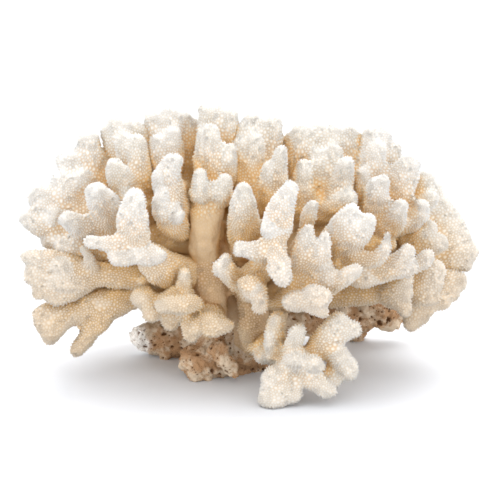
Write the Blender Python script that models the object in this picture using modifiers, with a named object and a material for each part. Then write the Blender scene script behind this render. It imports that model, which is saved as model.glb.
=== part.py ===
"""A finger coral skeleton: a dry, bushy colony on its cut-off dead base.

One branching thing, split at its main forks. Each limb is a stem with blunt fingers, drawn out from balls
along curved runs, welded into one skin, and parted from its neighbours by a hair at the fork.
"""
import math

import bmesh
import bpy
from mathutils import Matrix, Vector

# Driving dimensions, in metres. X runs to the right, Y away from the viewer and Z up, and the origin is the
# middle of the flat cut under the trunk.
MM = 0.001
VIEW_TILT = math.radians(15)     # the front view, on which the runs are read, looks down by this much
VIEW_DISTANCE = 1.40             # from the eye to the middle of the colony
VIEW_MIDDLE = Vector((0.009, 0.0, 0.077))
FORK_GAP = 0.00045              # between one limb and the next
SKIN = 0.0018                    # grid of the welded skin
SKIN_ROUNDS = 3                  # rounds of smoothing that fill the forks
TRIANGLES_PER_RUN = 23
BLUNTNESS = 3.8                  # 2 would end a finger as an ellipse, more makes it blunter
FLATNESS = 0.82                  # a finger's thickness, as a share of its width
HEAD_ON = 0.4                    # a run that points at the viewer more than this is broad along X
LOOK_AHEAD = 0.02                # the share of a run over which its direction is read

SIDES = 12
RINGS = 14


# Each run is a list of points (across, up, depth, width) in millimetres, from root to tip. Across and up are
# read on the front view from the middle of the cut, and depth is real, negative towards the viewer.
TRUNK = [
    [(-6, -16, 6, 34), (-5, 4, 5, 36), (-4, 22, 4, 38), (-8, 46, 4, 38), (-8, 66, 2, 40), (-4, 80, 4, 40)],
    [(2, -14, 12, 34), (6, 8, 12, 36), (12, 30, 12, 38), (14, 52, 14, 42), (16, 70, 14, 40)],
    [(-15, 24, -14, 18), (-14, 40, -20, 20), (-16, 57, -19, 20), (-18, 72, -15, 18)],
    [(10, 12, -14, 16), (11, 28, -22, 18), (10, 44, -21, 18), (4, 60, -12, 20)],
    [(-12, 14, 24, 20), (-34, 19, 32, 22), (-52, 21, 36, 21), (-63, 22, 38, 14)],
    [(-36, 13, 34, 15), (-44, 14, 28, 14)],
    [(-54, 23, 32, 15), (-57, 26, 27, 10)],
    [(-2, 5, 0, 22), (-14, 5, -8, 20), (-24, 4, -14, 19), (-32, 5, -10, 15)],
    [(-20, 10, -8, 16), (-32, 10, -2, 11)],
    [(-12, 18, -16, 14), (-7, 8, -22, 10.5), (1, -3, -22, 8)],
    [(6, 10, -6, 14), (7, 4, -10, 11)],
    [(10, 8, -2, 13), (14, 3, -8, 9)],
    [(9, 36, -24, 12), (7, 27, -29, 10.5), (7, 19, -28, 9)],
    [(1, 30, 24, 34), (2, 50, 30, 38), (4, 70, 34, 36)],
    [(0, 20, 20, 34), (1, 30, 24, 35), (1, 40, 26, 32)],
]

DEAD_BRANCH = [
    [(14, 26, 18, 26), (42, 31, 40, 20), (62, 33, 56, 19), (80, 33, 62, 17), (103, 34, 66, 16)],
    [(60, 33, 52, 15), (66, 40, 54, 9)],
    [(72, 30, 60, 16), (72, 19, 70, 11)],
    [(70, 36, 58, 12), (84, 37, 60, 11), (97, 36.5, 62, 9)],
    [(84, 31, 60, 13), (100, 29, 64, 10)],
    [(62, 30, 54, 14), (61, 24, 58, 9)],
]

FOOT_RIGHT = [
    [(8, 22, -12, 21), (22, 14, -30, 17), (36, 8, -44, 16), (48, 9, -52, 15)],
    [(36, 6, -50, 12), (35, 16, -58, 11), (40, 28, -64, 10)],
    [(24, 10, -36, 14), (24, 22, -46, 12), (26, 37, -50, 9)],
    [(24, 8, -44, 11), (20, 20, -52, 7)],
    [(22, 12, -28, 12), (14, 8, -36, 9)],
    [(34, 5, -50, 13), (42, 5, -61, 12), (52, 4.5, -68, 10)],
    [(30, 4, -56, 10), (38, 8, -66, 8)],
    [(34, 3, -50, 13), (26, -5, -60, 15), (19, -22, -67, 16)],
    [(26, 0, -58, 12), (17, -6, -66, 9)],
    [(30, -4, -60, 12), (27, -20, -67, 12)],
    [(36, -4, -58, 9), (35.5, -19, -66, 8)],
    [(40, 0, -56, 12), (49, -6, -63, 12), (59, -14, -66, 9.5)],
    [(46, 10, -50, 14), (56, 22, -54, 16), (65, 35, -56, 12)],
    [(58, 21, -54, 14), (68, 26, -57, 12), (75.5, 25, -58, 9)],
    [(56, 16, -54, 13), (64, 6, -57, 14), (72, -3, -60, 11)],
    [(60, 8, -58, 11), (68, 10, -62, 9)],
    [(52, 2, -52, 10), (63, -8, -58, 7)],
]

FOOT_LEFT = [
    [(-6, 38, -10, 19), (-20, 38, -22, 17), (-34, 38, -32, 15), (-46, 40, -35, 13)],
    [(-31, 42, -34, 10), (-31, 52, -42, 9), (-30, 62, -46, 8)],
    [(-19.5, 42.5, -46, 10), (-33, 40.5, -52, 11), (-47.5, 41.5, -47, 10)],
    [(-24, 46, -38, 9), (-33, 47, -37, 11), (-43, 45, -38, 9)],
    [(-32, 40, -36, 13), (-33, 40, -46, 12)],
    [(-46, 42, -32, 13), (-55, 45, -36, 13), (-62, 42, -37, 9)],
    [(-44, 41, -33, 13), (-50, 37, -38, 12), (-51, 30, -39, 8)],
    [(-38, 36, -28, 13), (-39, 31, -33, 11), (-37, 25.5, -35, 8)],
    [(-30, 36, -34, 13), (-27, 28, -43, 11), (-26, 18, -44, 8)],
    [(-12, 36, -22, 17), (-16, 31, -42, 13)],
    [(-24, 32, -41, 10), (-13, 29, -46, 15), (-1, 27, -45, 9)],
]

LEFT_LOW = [
    [(-10, 50, 0, 27.5), (-40, 52, -8, 19.5), (-62, 45, -14, 14.5), (-80, 43, -18, 17), (-95, 40, -20, 12)],
    [(-64, 44, -15, 14.5), (-74, 40, -18, 16), (-86, 45, -19, 13)],
    [(-95, 40, -19, 12), (-106, 33, -23, 18), (-114, 19, -27, 15.5)],
    [(-86, 43, -19, 11), (-95, 36, -20, 11), (-101, 28, -22, 9.5)],
    [(-97, 40, -20, 12), (-112, 34, -24, 15.5), (-121, 31, -27, 10.5)],
    [(-70, 42, -17, 14), (-78, 34, -21, 13), (-87, 23.5, -23, 11.5), (-97, 9.5, -24, 10)],
    [(-92, 42, -12, 13.5), (-110, 44, -4, 11.5)],
    [(-84, 44, -10, 13.5), (-100, 50, 4, 11.5)],
    [(-104, 38, -22, 10.5), (-113, 38, -25, 8.5)],
]

LEFT_MIDDLE = [
    [(-12, 62, 2, 26), (-36, 61, -8, 20), (-56, 57, -16, 15), (-76, 58, -20, 15), (-92, 58, -25, 17)],
    [(-88, 60, -25, 17), (-104, 65, -29, 15), (-118, 68.5, -33, 10), (-129, 69.5, -35, 7.5)],
    [(-90, 57, -26, 16), (-110, 58.5, -30, 15), (-126.5, 58.5, -33, 12.5)],
    [(-88, 55, -25, 13), (-106, 49.5, -30, 12), (-123, 47, -34, 8)],
    [(-86, 54, -25, 11), (-100, 46.5, -30, 9.5), (-114, 43, -33, 7)],
    [(-84, 60, -24, 9.5), (-87, 67, -33, 7), (-93, 77, -38, 5.5)],
    [(-88, 56, -26, 13), (-97, 52, -33, 10), (-108, 53, -36, 8)],
    [(-100, 60, -28, 12), (-106, 64, -36, 8)],
    [(-51, 55, -14, 12), (-53, 54, -29, 9)],
    [(-88, 63, -18, 15), (-104, 69, -14, 13), (-116, 70, -12, 9)],
    [(-94, 52, -18, 16), (-116, 52, -10, 13)],
]

LEFT_FRONT = [
    [(-12, 56, -6, 22), (-30, 59, -20, 21), (-43, 62, -32, 22), (-57, 75, -46, 17)],
    [(-57, 71, -46, 16), (-61, 86, -54, 19), (-61, 98, -59, 16), (-60, 109, -62, 12)],
    [(-62, 78, -48, 12), (-76, 77, -56, 9), (-91, 79, -60, 8)],
    [(-60, 71, -46, 12), (-74, 68, -58, 9)],
    [(-56, 71, -46, 13), (-44, 69, -60, 9)],
    [(-66, 72, -48, 11), (-58, 68, -56, 10)],
]

LEFT_HIGH = [
    [(-10, 74, 4, 26), (-36, 82, 2, 24), (-64, 88, -3, 23), (-88, 92, -8, 23), (-100, 95, -9, 19)],
    [(-98, 92, -12, 14), (-114, 86, -18, 12), (-129, 94, -25, 9)],
    [(-94, 88, -12, 15), (-108, 80, -16, 13), (-117, 79, -18, 9)],
    [(-98, 96, -10, 14), (-110, 101, -13, 13), (-122, 108, -15, 15)],
    [(-96, 98, -8, 16), (-102, 108, -9, 15), (-106, 119, -9, 12)],
    [(-92, 100, 0, 15), (-96, 116, 3, 13), (-102, 130, 3, 16)],
    [(-82, 98, 0, 18), (-85, 118, 5, 16), (-89, 144, 6, 15)],
    [(-80, 86, -14, 14), (-92, 87, -27, 14), (-104, 93, -38, 11)],
    [(-73, 87, -12, 15), (-78, 98, -30, 17), (-85, 112, -42, 13)],
    [(-76, 88, -14, 11), (-72, 100, -30, 8), (-73, 108, -32, 7)],
    [(-78, 82, -8, 15), (-94, 76, -20, 16), (-108, 75.5, -26, 11)],
    [(-56, 76, -2, 15), (-74, 71, -8, 13), (-87, 69, -12, 10)],
    [(-76, 92, 4, 18), (-79, 114, 8, 15), (-79, 133, 10, 11)],
    [(-88, 106, 0, 14), (-93, 120, -8, 9)],
    [(-90, 108, 10, 13), (-97, 126, 14, 11)],
    [(-98, 98, 2, 15), (-110, 112, 8, 11)],
    [(-92, 92, 2, 17), (-114, 94, 10, 12)],
    [(-84, 84, -2, 16), (-102, 78, 4, 12)],
    [(-106, 96, -12, 11), (-110, 93, -22, 9)],
]

CROWN_LEFT = [
    [(-6, 74, 4, 29), (-26, 90, 4, 25), (-46, 104, 4, 23), (-57, 116, 4, 23)],
    [(-57, 110, 5, 17), (-66, 130, 7, 16), (-69, 153, 7, 15)],
    [(-56, 112, 6, 16), (-60, 132, 9, 15), (-61, 151, 10, 13)],
    [(-54, 112, 8, 15), (-56, 132, 10, 14), (-56, 148, 10, 11)],
    [(-56, 112, 4, 17), (-69, 130, 9, 15), (-77, 149, 10, 12)],
    [(-58, 102, -6, 16), (-67, 112, -17, 15), (-73.5, 127, -20, 12)],
    [(-54, 106, -2, 15), (-57, 122, -8, 13), (-59, 142, -6, 11)],
    [(-50, 94, -6, 16), (-60, 97, -20, 14), (-67, 106, -22, 11)],
    [(-62, 118, 2, 13), (-66, 134, -1, 11), (-66, 143, -1, 9)],
]

CROWN_LEFT_MIDDLE = [
    [(-6, 72, 6, 26.5), (-18, 88, 6, 23.5), (-32, 104, 6, 22.5), (-40, 120, 6, 21.5)],
    [(-42, 112, 6, 16.5), (-46, 136, 11, 14.5), (-49, 157, 11, 12.5)],
    [(-38, 114, 6, 17.5), (-39, 138, 7, 16.5), (-39, 159, 7, 14.5)],
    [(-34, 112, 8, 14.5), (-32, 134, 11, 12.5), (-31, 157, 12, 10.5)],
    [(-32, 100, 6, 16), (-27, 126, 12, 12.5), (-25, 153.5, 14, 10)],
    [(-43, 112, 2, 12.5), (-46, 130, -2, 10.5), (-47, 142, -2, 8.5)],
    [(-36, 118, 2, 12.5), (-36, 134, -4, 10.5), (-37, 146, -4, 8.5)],
    [(-30, 90, -8, 15.5), (-37, 103, -24, 17.5), (-41, 117, -33, 16.5), (-35, 131, -36, 10.5)],
    [(-39, 106, -26, 14.5), (-46, 118, -34, 9.5)],
    [(-32, 106, 2, 16), (-36, 110, -14, 15), (-40, 113, -28, 14)],
    [(-28, 82, -8, 15.5), (-37, 88, -26, 15), (-44, 96, -37, 11), (-46, 107, -40, 7)],
    [(-40, 96, -32, 13), (-32, 92.5, -41, 7.5)],
]

CROWN_MIDDLE = [
    [(-14, 56, -12, 21), (-18, 72, -17, 19), (-18, 90, -18, 19.5), (-16, 104, -14, 23), (-13, 120, -6, 22)],
    [(-16, 112, -4, 16), (-16, 136, 0, 14), (-16.5, 160.5, 2, 12)],
    [(-12, 114, -2, 15), (-11, 138, 4, 14), (-11, 161, 5, 12)],
    [(-8, 110, 0, 15), (-4, 134, 3, 13), (-3, 158, 4, 11)],
    [(-14, 106, -12, 15), (-14, 128, -17, 12), (-15, 149, -15, 10)],
    [(-20, 112, -6, 11), (-20, 132, -8, 9), (-20, 146, -6, 7)],
    [(-20, 106, -19, 12), (-21.5, 107, -31, 12.5), (-20.5, 122, -33, 8.5)],
    [(-8, 104, -16, 13), (-6.5, 107, -28, 11), (-6, 119, -29, 7.5)],
    [(-6, 112, -10, 13), (-3, 124, -16, 9.5), (-2, 138, -16, 7)],
]

CROWN_RIGHT_MIDDLE = [
    [(2, 62, -2, 27.5), (6, 84, -2, 23.5), (12, 104, 0, 22.5), (16, 120, 0, 22.5)],
    [(12, 110, 2, 15.5), (11, 134, 3, 14.5), (11, 155, 4, 13.5)],
    [(18, 110, 2, 15.5), (21, 134, 6, 14.5), (22, 154, 7, 14.5)],
    [(14, 112, 2, 13.5), (16, 136, 6, 13.5), (17, 153, 6, 11.5)],
    [(8, 104, 0, 15), (5, 124, -1, 13), (5, 150, 3, 9)],
    [(8, 98, -6, 15), (3, 116, -6, 12), (2, 140, -4, 9)],
    [(12, 104, -6, 15.5), (12, 124, -8, 12.5), (12, 143, -6, 9.5)],
    [(18, 94, -10, 14.5), (24, 110, -18, 13.5), (26, 122, -22, 11.5), (29, 136, -24, 8)],
    [(18, 96, -10, 12.5), (19, 110, -20, 9.5), (19, 126, -24, 7.5)],
    [(6, 68, -14, 18.5), (5, 84, -30, 18.5), (5, 98, -42, 16.5), (5, 114, -48, 10.5)],
    [(10, 84, -30, 11.5), (13, 92, -38, 8.5)],
]

CROWN_RIGHT = [
    [(6, 66, 6, 28), (20, 84, 8, 25), (36, 100, 8, 25), (50, 114, 8, 26)],
    [(38, 104, 8, 14), (34, 124, 12, 12), (33, 143, 12, 10)],
    [(42, 106, 6, 16), (40, 130, 7, 15), (40, 149, 7, 13)],
    [(48, 108, 8, 17), (49, 132, 11, 16), (49, 149.5, 11, 14)],
    [(54, 108, 6, 17), (58, 132, 8, 16), (60, 148, 8, 14)],
    [(58, 106, 8, 17), (66, 130, 11, 15), (69, 149, 11, 13)],
    [(60, 104, 6, 15), (71, 124, 12, 15), (74, 143.5, 13, 12)],
    [(54, 94, -2, 16), (62, 108, -12, 14), (68, 128, -20, 10.5)],
    [(50, 92, -2, 16), (59, 99, -16, 14), (72, 106, -24, 11)],
    [(40, 92, -4, 15), (40, 108, -12, 13), (42, 128, -12, 10)],
    [(48, 100, 0, 15), (50, 120, -4, 12), (52, 134, -2, 10)],
    [(58, 106, 0, 14), (60, 124, -6, 11), (60, 137, -4, 9)],
]

RIGHT_HIGH = [
    [(14, 62, 8, 30.5), (38, 76, 8, 25.5), (62, 88, 8, 24.5), (80, 98, 6, 24.5)],
    [(76, 98, 8, 16.5), (80, 124, 9, 15.5), (83, 147.5, 9, 14.5)],
    [(70, 92, 4, 18), (75, 112, 4, 15), (77, 130, 6, 11)],
    [(80, 98, 8, 16.5), (87, 124, 11, 14.5), (90, 145, 11, 11.5)],
    [(84, 98, 8, 15.5), (93, 118, 13, 11.5), (97, 138, 13, 8.5)],
    [(84, 94, 2, 17.5), (98, 106, -2, 16.5), (106, 130, -4, 14.5)],
    [(74, 86, -2, 14.5), (82, 98, -16, 12), (86, 107, -22, 11), (91, 118, -26, 8.5)],
    [(80, 98, -16, 10), (84, 116, -25, 7.5)],
    [(82, 82, -4, 15), (95, 88, -18, 12.5), (100, 103, -26, 9)],
    [(86, 86, 0, 15.5), (108, 91, -10, 11.5), (113, 103, -16, 8)],
    [(82, 108, 4, 14.5), (84, 124, 0, 12.5), (86, 138, 2, 10.5)],
    [(76, 92, 0, 14.5), (76, 108, -6, 10.5), (75, 122, -6, 8.5)],
]

RIGHT_RIM = [
    [(16, 54, 18, 28.5), (46, 66, 22, 25.5), (74, 76, 19, 25.5), (98, 82, 16, 27.5), (112, 84, 14, 27.5)],
    [(100, 90, 14, 17.5), (110, 105, 15, 14.5), (116, 120.5, 15, 11.5)],
    [(102, 90, 15, 17.5), (114, 102, 17, 14.5), (122, 114, 17, 10.5)],
    [(104, 88, 14, 18.5), (116, 98, 15, 16.5), (127, 104.5, 15, 12.5)],
    [(106, 86, 14, 19.5), (121, 92, 15, 16.5), (133, 97, 15, 12.5)],
    [(106, 84, 12, 19.5), (124, 86, 13, 17.5), (139, 87, 13, 13.5)],
    [(106, 82, 11, 19.5), (126, 80, 11, 17.5), (142, 79, 11, 13.5)],
    [(106, 78, 9, 19.5), (126, 74, 9, 17.5), (145, 71, 8, 14.5)],
    [(102, 72, 8, 18.5), (124, 67, 8, 15.5), (142, 65, 7, 10.5)],
    [(98, 80, 4, 16.5), (111, 84, -4, 13.5), (120, 90, -6, 9.5)],
    [(100, 76, 2, 15.5), (116, 76, -4, 13.5), (128, 79, -6, 10.5)],
    [(104, 92, 10, 14.5), (115, 101, 4, 11.5), (119, 107, 4, 8.5)],
    [(46, 66, 8, 20), (74, 75, -8, 18), (97, 79, -14, 13)],
]

RIGHT_FRONT = [
    [(10, 54, -8, 23.5), (32, 58, -20, 19.5), (52, 64, -30, 18.5), (66, 72, -38, 18.5)],
    [(60, 74, -38, 16.5), (65, 85, -48, 18.5), (71, 100, -55, 10.5)],
    [(64, 74, -40, 17.5), (74, 84, -50, 15.5), (82, 93.5, -56, 8.5)],
    [(58, 74, -38, 13.5), (57, 85, -46, 9.5)],
    [(64, 70, -38, 14), (80, 67, -46, 10), (89, 72, -53, 8), (92.5, 86, -56, 6.5)],
    [(72, 61, -30, 15.5), (88, 61, -38, 13.5), (101, 68, -45, 11.5), (105, 78, -47, 8)],
    [(92, 61, -36, 11.5), (105, 62, -41, 8.5), (106, 69, -43, 7.5)],
    [(82, 60, -26, 13.5), (100, 62, -28, 10.5), (112, 66, -31, 9.5), (118, 73, -32, 8.5)],
    [(62, 64, -34, 16.5), (76, 58, -36, 14.5), (88, 60, -36, 12.5)],
]

RIGHT_LOW = [
    [(10, 44, 4, 28), (36, 46, -2, 20), (60, 47.5, -10, 17), (80, 48, -14, 16.5), (96, 50, -16, 16)],
    [(86, 49, -16, 14), (96, 51, -26, 12.5), (105, 58, -35, 9)],
    [(88, 47, -16, 14), (98, 44, -26, 12.5), (104.5, 34.5, -34, 8)],
    [(92, 48, -23, 14), (106, 47, -35, 9)],
    [(98, 51, -12, 16), (112, 54, -17, 16), (124, 55, -22, 11)],
    [(100, 55, -12, 14), (114, 61, -17, 13), (126, 62, -19, 10)],
    [(100, 48, -12, 15), (113, 46, -18, 13), (123, 44, -21, 9)],
    [(96, 52, -2, 20), (120, 55, 2, 17), (139, 55, 3, 13)],
    [(98, 48, -4, 19), (120, 48, -2, 16), (135, 47, -2, 10)],
    [(98, 46, -6, 18), (118, 44, -8, 14), (129, 41, -9, 9)],
    [(102, 45, -8, 16), (106.5, 34, -11, 12), (104, 24, -12, 8)],
    [(100, 44, -8, 16), (110, 36, -11, 14), (119, 37, -12, 9)],
    [(104, 42, -8, 14), (112, 36, -12, 12), (114, 30, -12, 8)],
]

FRONT_MIDDLE = [
    [(4, 50, -12, 20), (10, 56, -28, 17), (17, 64, -42, 16), (22, 72, -52, 15)],
    [(21, 71, -52, 15), (25, 84, -60, 16), (27, 96, -65, 16), (35, 115, -70, 10.5)],
    [(26, 88, -62, 11), (16, 86, -67, 8)],
    [(20, 76, -52, 12), (25, 71, -62, 12), (27, 62, -68, 14), (32, 53, -71, 10)],
    [(20, 71, -50, 13), (10, 73, -58, 11), (-1, 75, -63, 9)],
    [(8, 50, -22, 14), (-1, 57, -42, 12), (-12, 63, -54, 10)],
    [(-3, 60, -46, 9), (-6, 70, -52, 7.5)],
    [(8, 46, -24, 14), (11, 49, -46, 13), (12, 50, -60, 12)],
    [(0.5, 53, -61, 8.5), (9, 52, -60, 12), (15, 45, -59, 11), (13.5, 35, -58, 8)],
]

FRONT_RIGHT = [
    [(8, 44, -8, 20), (25, 51, -24, 16), (35, 57, -39, 14.5), (40, 63, -50, 14.5)],
    [(37, 62, -50, 13), (40, 74, -56, 11.5), (45, 88.5, -62, 7.5)],
    [(42, 63, -52, 12), (51.5, 69, -62, 11), (55, 84.5, -67, 8)],
    [(37, 65, -51, 10.5), (34, 72, -55, 7.5)],
    [(44, 63, -52, 11.5), (53, 66, -60, 8.5)],
    [(36, 64, -34, 12.5), (42, 84, -38, 9.5), (47, 104, -42, 8.5)],
    [(34, 52, -42, 12.5), (46, 56, -52, 10.5), (59, 64, -60, 7.5)],
    [(42, 52, -48, 10), (51, 53, -56, 9), (58, 55, -60, 7)],
    [(40, 44, -44, 12.5), (58, 51, -58, 9.5), (67, 58, -64, 10), (76.5, 62.5, -68, 7.5)],
    [(16, 44, -14, 16), (28, 43, -36, 13), (38, 43, -56, 13), (48, 44, -70, 14.5), (58.5, 45, -74, 9.5)],
    [(40, 42, -60, 13.5), (30, 43, -68, 10.5)],
    [(44, 44, -68, 12.5), (49, 51, -72, 8.5)],
    [(46, 42, -66, 13.5), (54, 35, -72, 8.5)],
]

# The back of the colony, which the front view hides: where each limb's stem starts and where its fingers gather,
# as (x, y, z) in millimetres. The fingers' tips follow one golden spiral over the colony's rounded outline, and
# each belongs to the limb that lies nearest its way out.
BACK = {
    "back_left_limb": ((-12, 18, 50), (-62, 26, 58)),
    "back_middle_left_limb": ((-6, 24, 46), (-24, 46, 50)),
    "back_middle_right_limb": ((10, 26, 46), (30, 46, 50)),
    "back_right_limb": ((20, 20, 50), (70, 28, 58)),
    "crown_back_left_limb": ((-10, 18, 64), (-48, 30, 88)),
    "crown_back_middle_limb": ((2, 24, 64), (0, 42, 90)),
    "crown_back_right_limb": ((14, 18, 64), (54, 30, 88)),
}
OUTLINE_MIDDLE = Vector((0.006, 0.004, 0.058))
OUTLINE_REACH = Vector((0.126, 0.086, 0.096))
SPIRAL_TIPS = 300                # over the whole outline, of which the back takes its share
GOLDEN_TURN = math.radians(137.508)
OUTLINE_WAVE = 0.04              # how far the outline waves in and out, as a share of its reach
WAVE_TURN = 5.0                  # from one tip's wave to the next, in radians
BACK_FROM = 0.017                # the back's tips lie at least this far behind the middle
LOWEST_TIP = 0.030
STEM_WIDTHS = (0.028, 0.025, 0.026)
FINGER_WIDTHS = (0.018, 0.017, 0.0135)
GROUND_SIZE = (0.6, 0.6, 0.1)    # of the block that cuts the base flat

COLOURS = {
    "cream": (0.80, 0.69, 0.53),
    "white": (0.86, 0.81, 0.72),
    "tan": (0.68, 0.50, 0.33),
    "dead": (0.30, 0.21, 0.14),
}


def clear_scene():
    for obj in list(bpy.data.objects):
        bpy.data.objects.remove(obj, do_unlink=True)


def new_collection(name):
    collection = bpy.data.collections.new(name)
    bpy.context.scene.collection.children.link(collection)
    return collection


def coral_material(name, colour):
    material = bpy.data.materials.new(name)
    material.use_nodes = True
    shader = material.node_tree.nodes["Principled BSDF"]
    shader.inputs["Base Color"].default_value = (*colour, 1)
    shader.inputs["Roughness"].default_value = 0.85
    shader.inputs["Metallic"].default_value = 0
    return material


def at(across, up, depth):
    """The place, in metres, that shows at (across, up) on the front view and lies this deep, all in mm."""
    rise, reach = math.sin(VIEW_TILT), math.cos(VIEW_TILT)
    origin_up = -VIEW_MIDDLE.z * reach / (1 + VIEW_MIDDLE.z * rise / VIEW_DISTANCE)
    side = across * MM - VIEW_MIDDLE.x
    height = up * MM + origin_up
    # the sight line's length, as a share of the view distance
    length = (depth * MM + VIEW_DISTANCE * reach) / (height * rise + VIEW_DISTANCE * reach)
    past = VIEW_DISTANCE * (length - 1)
    return VIEW_MIDDLE + Vector((side * length,
                                 height * length * rise + past * reach,
                                 height * length * reach - past * rise))


def along(points, share):
    """The smooth curve through the points, each a list of numbers, at this share of its way."""
    spans = len(points) - 1
    span = min(int(share * spans), spans - 1)
    t = share * spans - span
    p0 = points[max(span - 1, 0)]
    p1, p2 = points[span], points[span + 1]
    p3 = points[min(span + 2, spans)]
    return [0.5 * (2 * b + (c - a) * t + (2 * a - 5 * b + 4 * c - d) * t ** 2 + (3 * b - a - 3 * c + d) * t ** 3)
            for a, b, c, d in zip(p0, p1, p2, p3)]


def draw_out(mesh, run):
    """Adds a ball to the mesh, drawn out along a run of (x, y, z, width) in metres."""
    start, end = Vector(run[0][:3]), Vector(run[-1][:3])
    toward_viewer = Vector((0, -math.cos(VIEW_TILT), math.sin(VIEW_TILT)))
    broad = (end - start).normalized().cross(toward_viewer)
    if broad.length < HEAD_ON:
        broad = Vector((1, 0, 0))
    ball = bmesh.ops.create_uvsphere(mesh, u_segments=SIDES, v_segments=RINGS, radius=1)
    for vertex in ball["verts"]:
        height = max(-1, min(1, vertex.co.z))
        share = (1 + height) / 2
        *place, width = along(run, share)
        after, before = along(run, min(share + LOOK_AHEAD, 1)), along(run, max(share - LOOK_AHEAD, 0))
        ahead = (Vector(after[:3]) - Vector(before[:3])).normalized()
        side = (broad - ahead * broad.dot(ahead)).normalized()
        front = side.cross(ahead)
        girth = math.hypot(vertex.co.x, vertex.co.y)
        swell = (1 - abs(height) ** BLUNTNESS) ** (1 / BLUNTNESS) / girth if girth > 1e-6 else 0
        vertex.co = (Vector(place)
                     + side * (vertex.co.x * swell * width / 2)
                     + front * (vertex.co.y * swell * width / 2 * FLATNESS))


def read_run(run):
    return [[*at(across, up, depth), width * MM] for across, up, depth, width in run]


def back_tips():
    """The tips on the back of the colony's outline, each with the name of its limb."""
    tips = []
    for index in range(SPIRAL_TIPS):
        height = 1 - 2 * (index + 0.5) / SPIRAL_TIPS
        girth = math.sqrt(1 - height ** 2)
        spin = index * GOLDEN_TURN
        reach = OUTLINE_REACH * (1 - OUTLINE_WAVE + OUTLINE_WAVE * math.sin(WAVE_TURN * index))
        tip = OUTLINE_MIDDLE + Vector((reach.x * girth * math.cos(spin), reach.y * girth * math.sin(spin),
                                       reach.z * height))
        if tip.y < BACK_FROM or tip.z < LOWEST_TIP:
            continue
        way = tip - OUTLINE_MIDDLE
        name = min(BACK, key=lambda limb: way.angle(Vector(BACK[limb][1]) * MM - OUTLINE_MIDDLE))
        tips.append((name, tip))
    return tips


def back_runs(name):
    """The stem and the fingers of a back limb."""
    root, gather = (Vector(place) * MM for place in BACK[name])
    stem = (root, root.lerp(gather, 0.5), gather)
    runs = [[[*place, width] for place, width in zip(stem, STEM_WIDTHS)]]
    for owner, tip in back_tips():
        if owner == name:
            # halfway between the straight way from the stem and the straight way out
            middle = gather.lerp(tip, 0.55).lerp(OUTLINE_MIDDLE.lerp(tip, 0.8), 0.5)
            finger = (gather, middle, tip)
            runs.append([[*place, width] for place, width in zip(finger, FINGER_WIDTHS)])
    return runs


def weld(name, runs, collection, material):
    """One closed skin over a limb's runs."""
    mesh = bmesh.new()
    for run in runs:
        draw_out(mesh, run)
    data = bpy.data.meshes.new(name)
    mesh.to_mesh(data)
    mesh.free()
    limb = bpy.data.objects.new(name, data)
    collection.objects.link(limb)
    skin = limb.modifiers.new("skin", "REMESH")
    skin.mode = "VOXEL"
    skin.voxel_size = SKIN
    soften = limb.modifiers.new("soften", "SMOOTH")
    soften.iterations = SKIN_ROUNDS
    settle(limb)
    lighten = limb.modifiers.new("lighten", "DECIMATE")
    faces = sum(len(face.vertices) - 2 for face in limb.data.polygons)
    lighten.ratio = min(1, TRIANGLES_PER_RUN * len(runs) / faces)
    settle(limb)
    limb.data.materials.append(material)
    return limb


def settle(limb):
    """Applies the limb's modifiers."""
    graph = bpy.context.evaluated_depsgraph_get()
    data = bpy.data.meshes.new_from_object(limb.evaluated_get(graph))
    limb.modifiers.clear()
    old = limb.data
    limb.data = data
    bpy.data.meshes.remove(old)


def cutter_copies(limb, collection):
    """Two cutters: the limb as it is, and the limb grown by the fork gap."""
    copies = []
    for reach, kind in ((0, "_whole"), (FORK_GAP, "_grown")):
        mesh = bmesh.new()
        mesh.from_mesh(limb.data)
        mesh.normal_update()
        places = [vertex.co + vertex.normal * reach * vertex.calc_shell_factor() for vertex in mesh.verts]
        for vertex, place in zip(mesh.verts, places):
            vertex.co = place
        data = bpy.data.meshes.new(limb.name + kind)
        mesh.to_mesh(data)
        mesh.free()
        copies.append(add_cutter(data, collection))
    return copies


def add_cutter(data, collection):
    cutter = bpy.data.objects.new(data.name, data)
    cutter.hide_render = True
    cutter.display_type = "WIRE"
    collection.objects.link(cutter)
    return cutter


def ground_block(collection):
    """Everything below the cut, whose top is the ground at z = 0."""
    mesh = bmesh.new()
    bmesh.ops.create_cube(mesh, size=1, matrix=Matrix.Translation((0, 0, -GROUND_SIZE[2] / 2))
                          @ Matrix.Diagonal((*GROUND_SIZE, 1)))
    data = bpy.data.meshes.new("ground_cutter")
    mesh.to_mesh(data)
    mesh.free()
    return add_cutter(data, collection)


def near(limb, cutter):
    """True where the two objects' boxes meet."""
    boxes = []
    for obj in (limb, cutter):
        corners = [vertex.co for vertex in obj.data.vertices]
        boxes.append([(min(c[axis] for c in corners), max(c[axis] for c in corners)) for axis in range(3)])
    return all(a[0] < b[1] and b[0] < a[1] for a, b in zip(*boxes))


def keep_largest(limb):
    """Drops the chips that a cut left loose."""
    mesh = bmesh.new()
    mesh.from_mesh(limb.data)
    unseen = set(mesh.verts)
    islands = []
    while unseen:
        island = {unseen.pop()}
        edge = list(island)
        while edge:
            vertex = edge.pop()
            for link in vertex.link_edges:
                other = link.other_vert(vertex)
                if other in unseen:
                    unseen.discard(other)
                    island.add(other)
                    edge.append(other)
        islands.append(island)
    islands.sort(key=len, reverse=True)
    for island in islands[1:]:
        print("dropped a chip of", limb.name, len(island))
        bmesh.ops.delete(mesh, geom=list(island), context="VERTS")
    mesh.to_mesh(limb.data)
    mesh.free()


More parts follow.
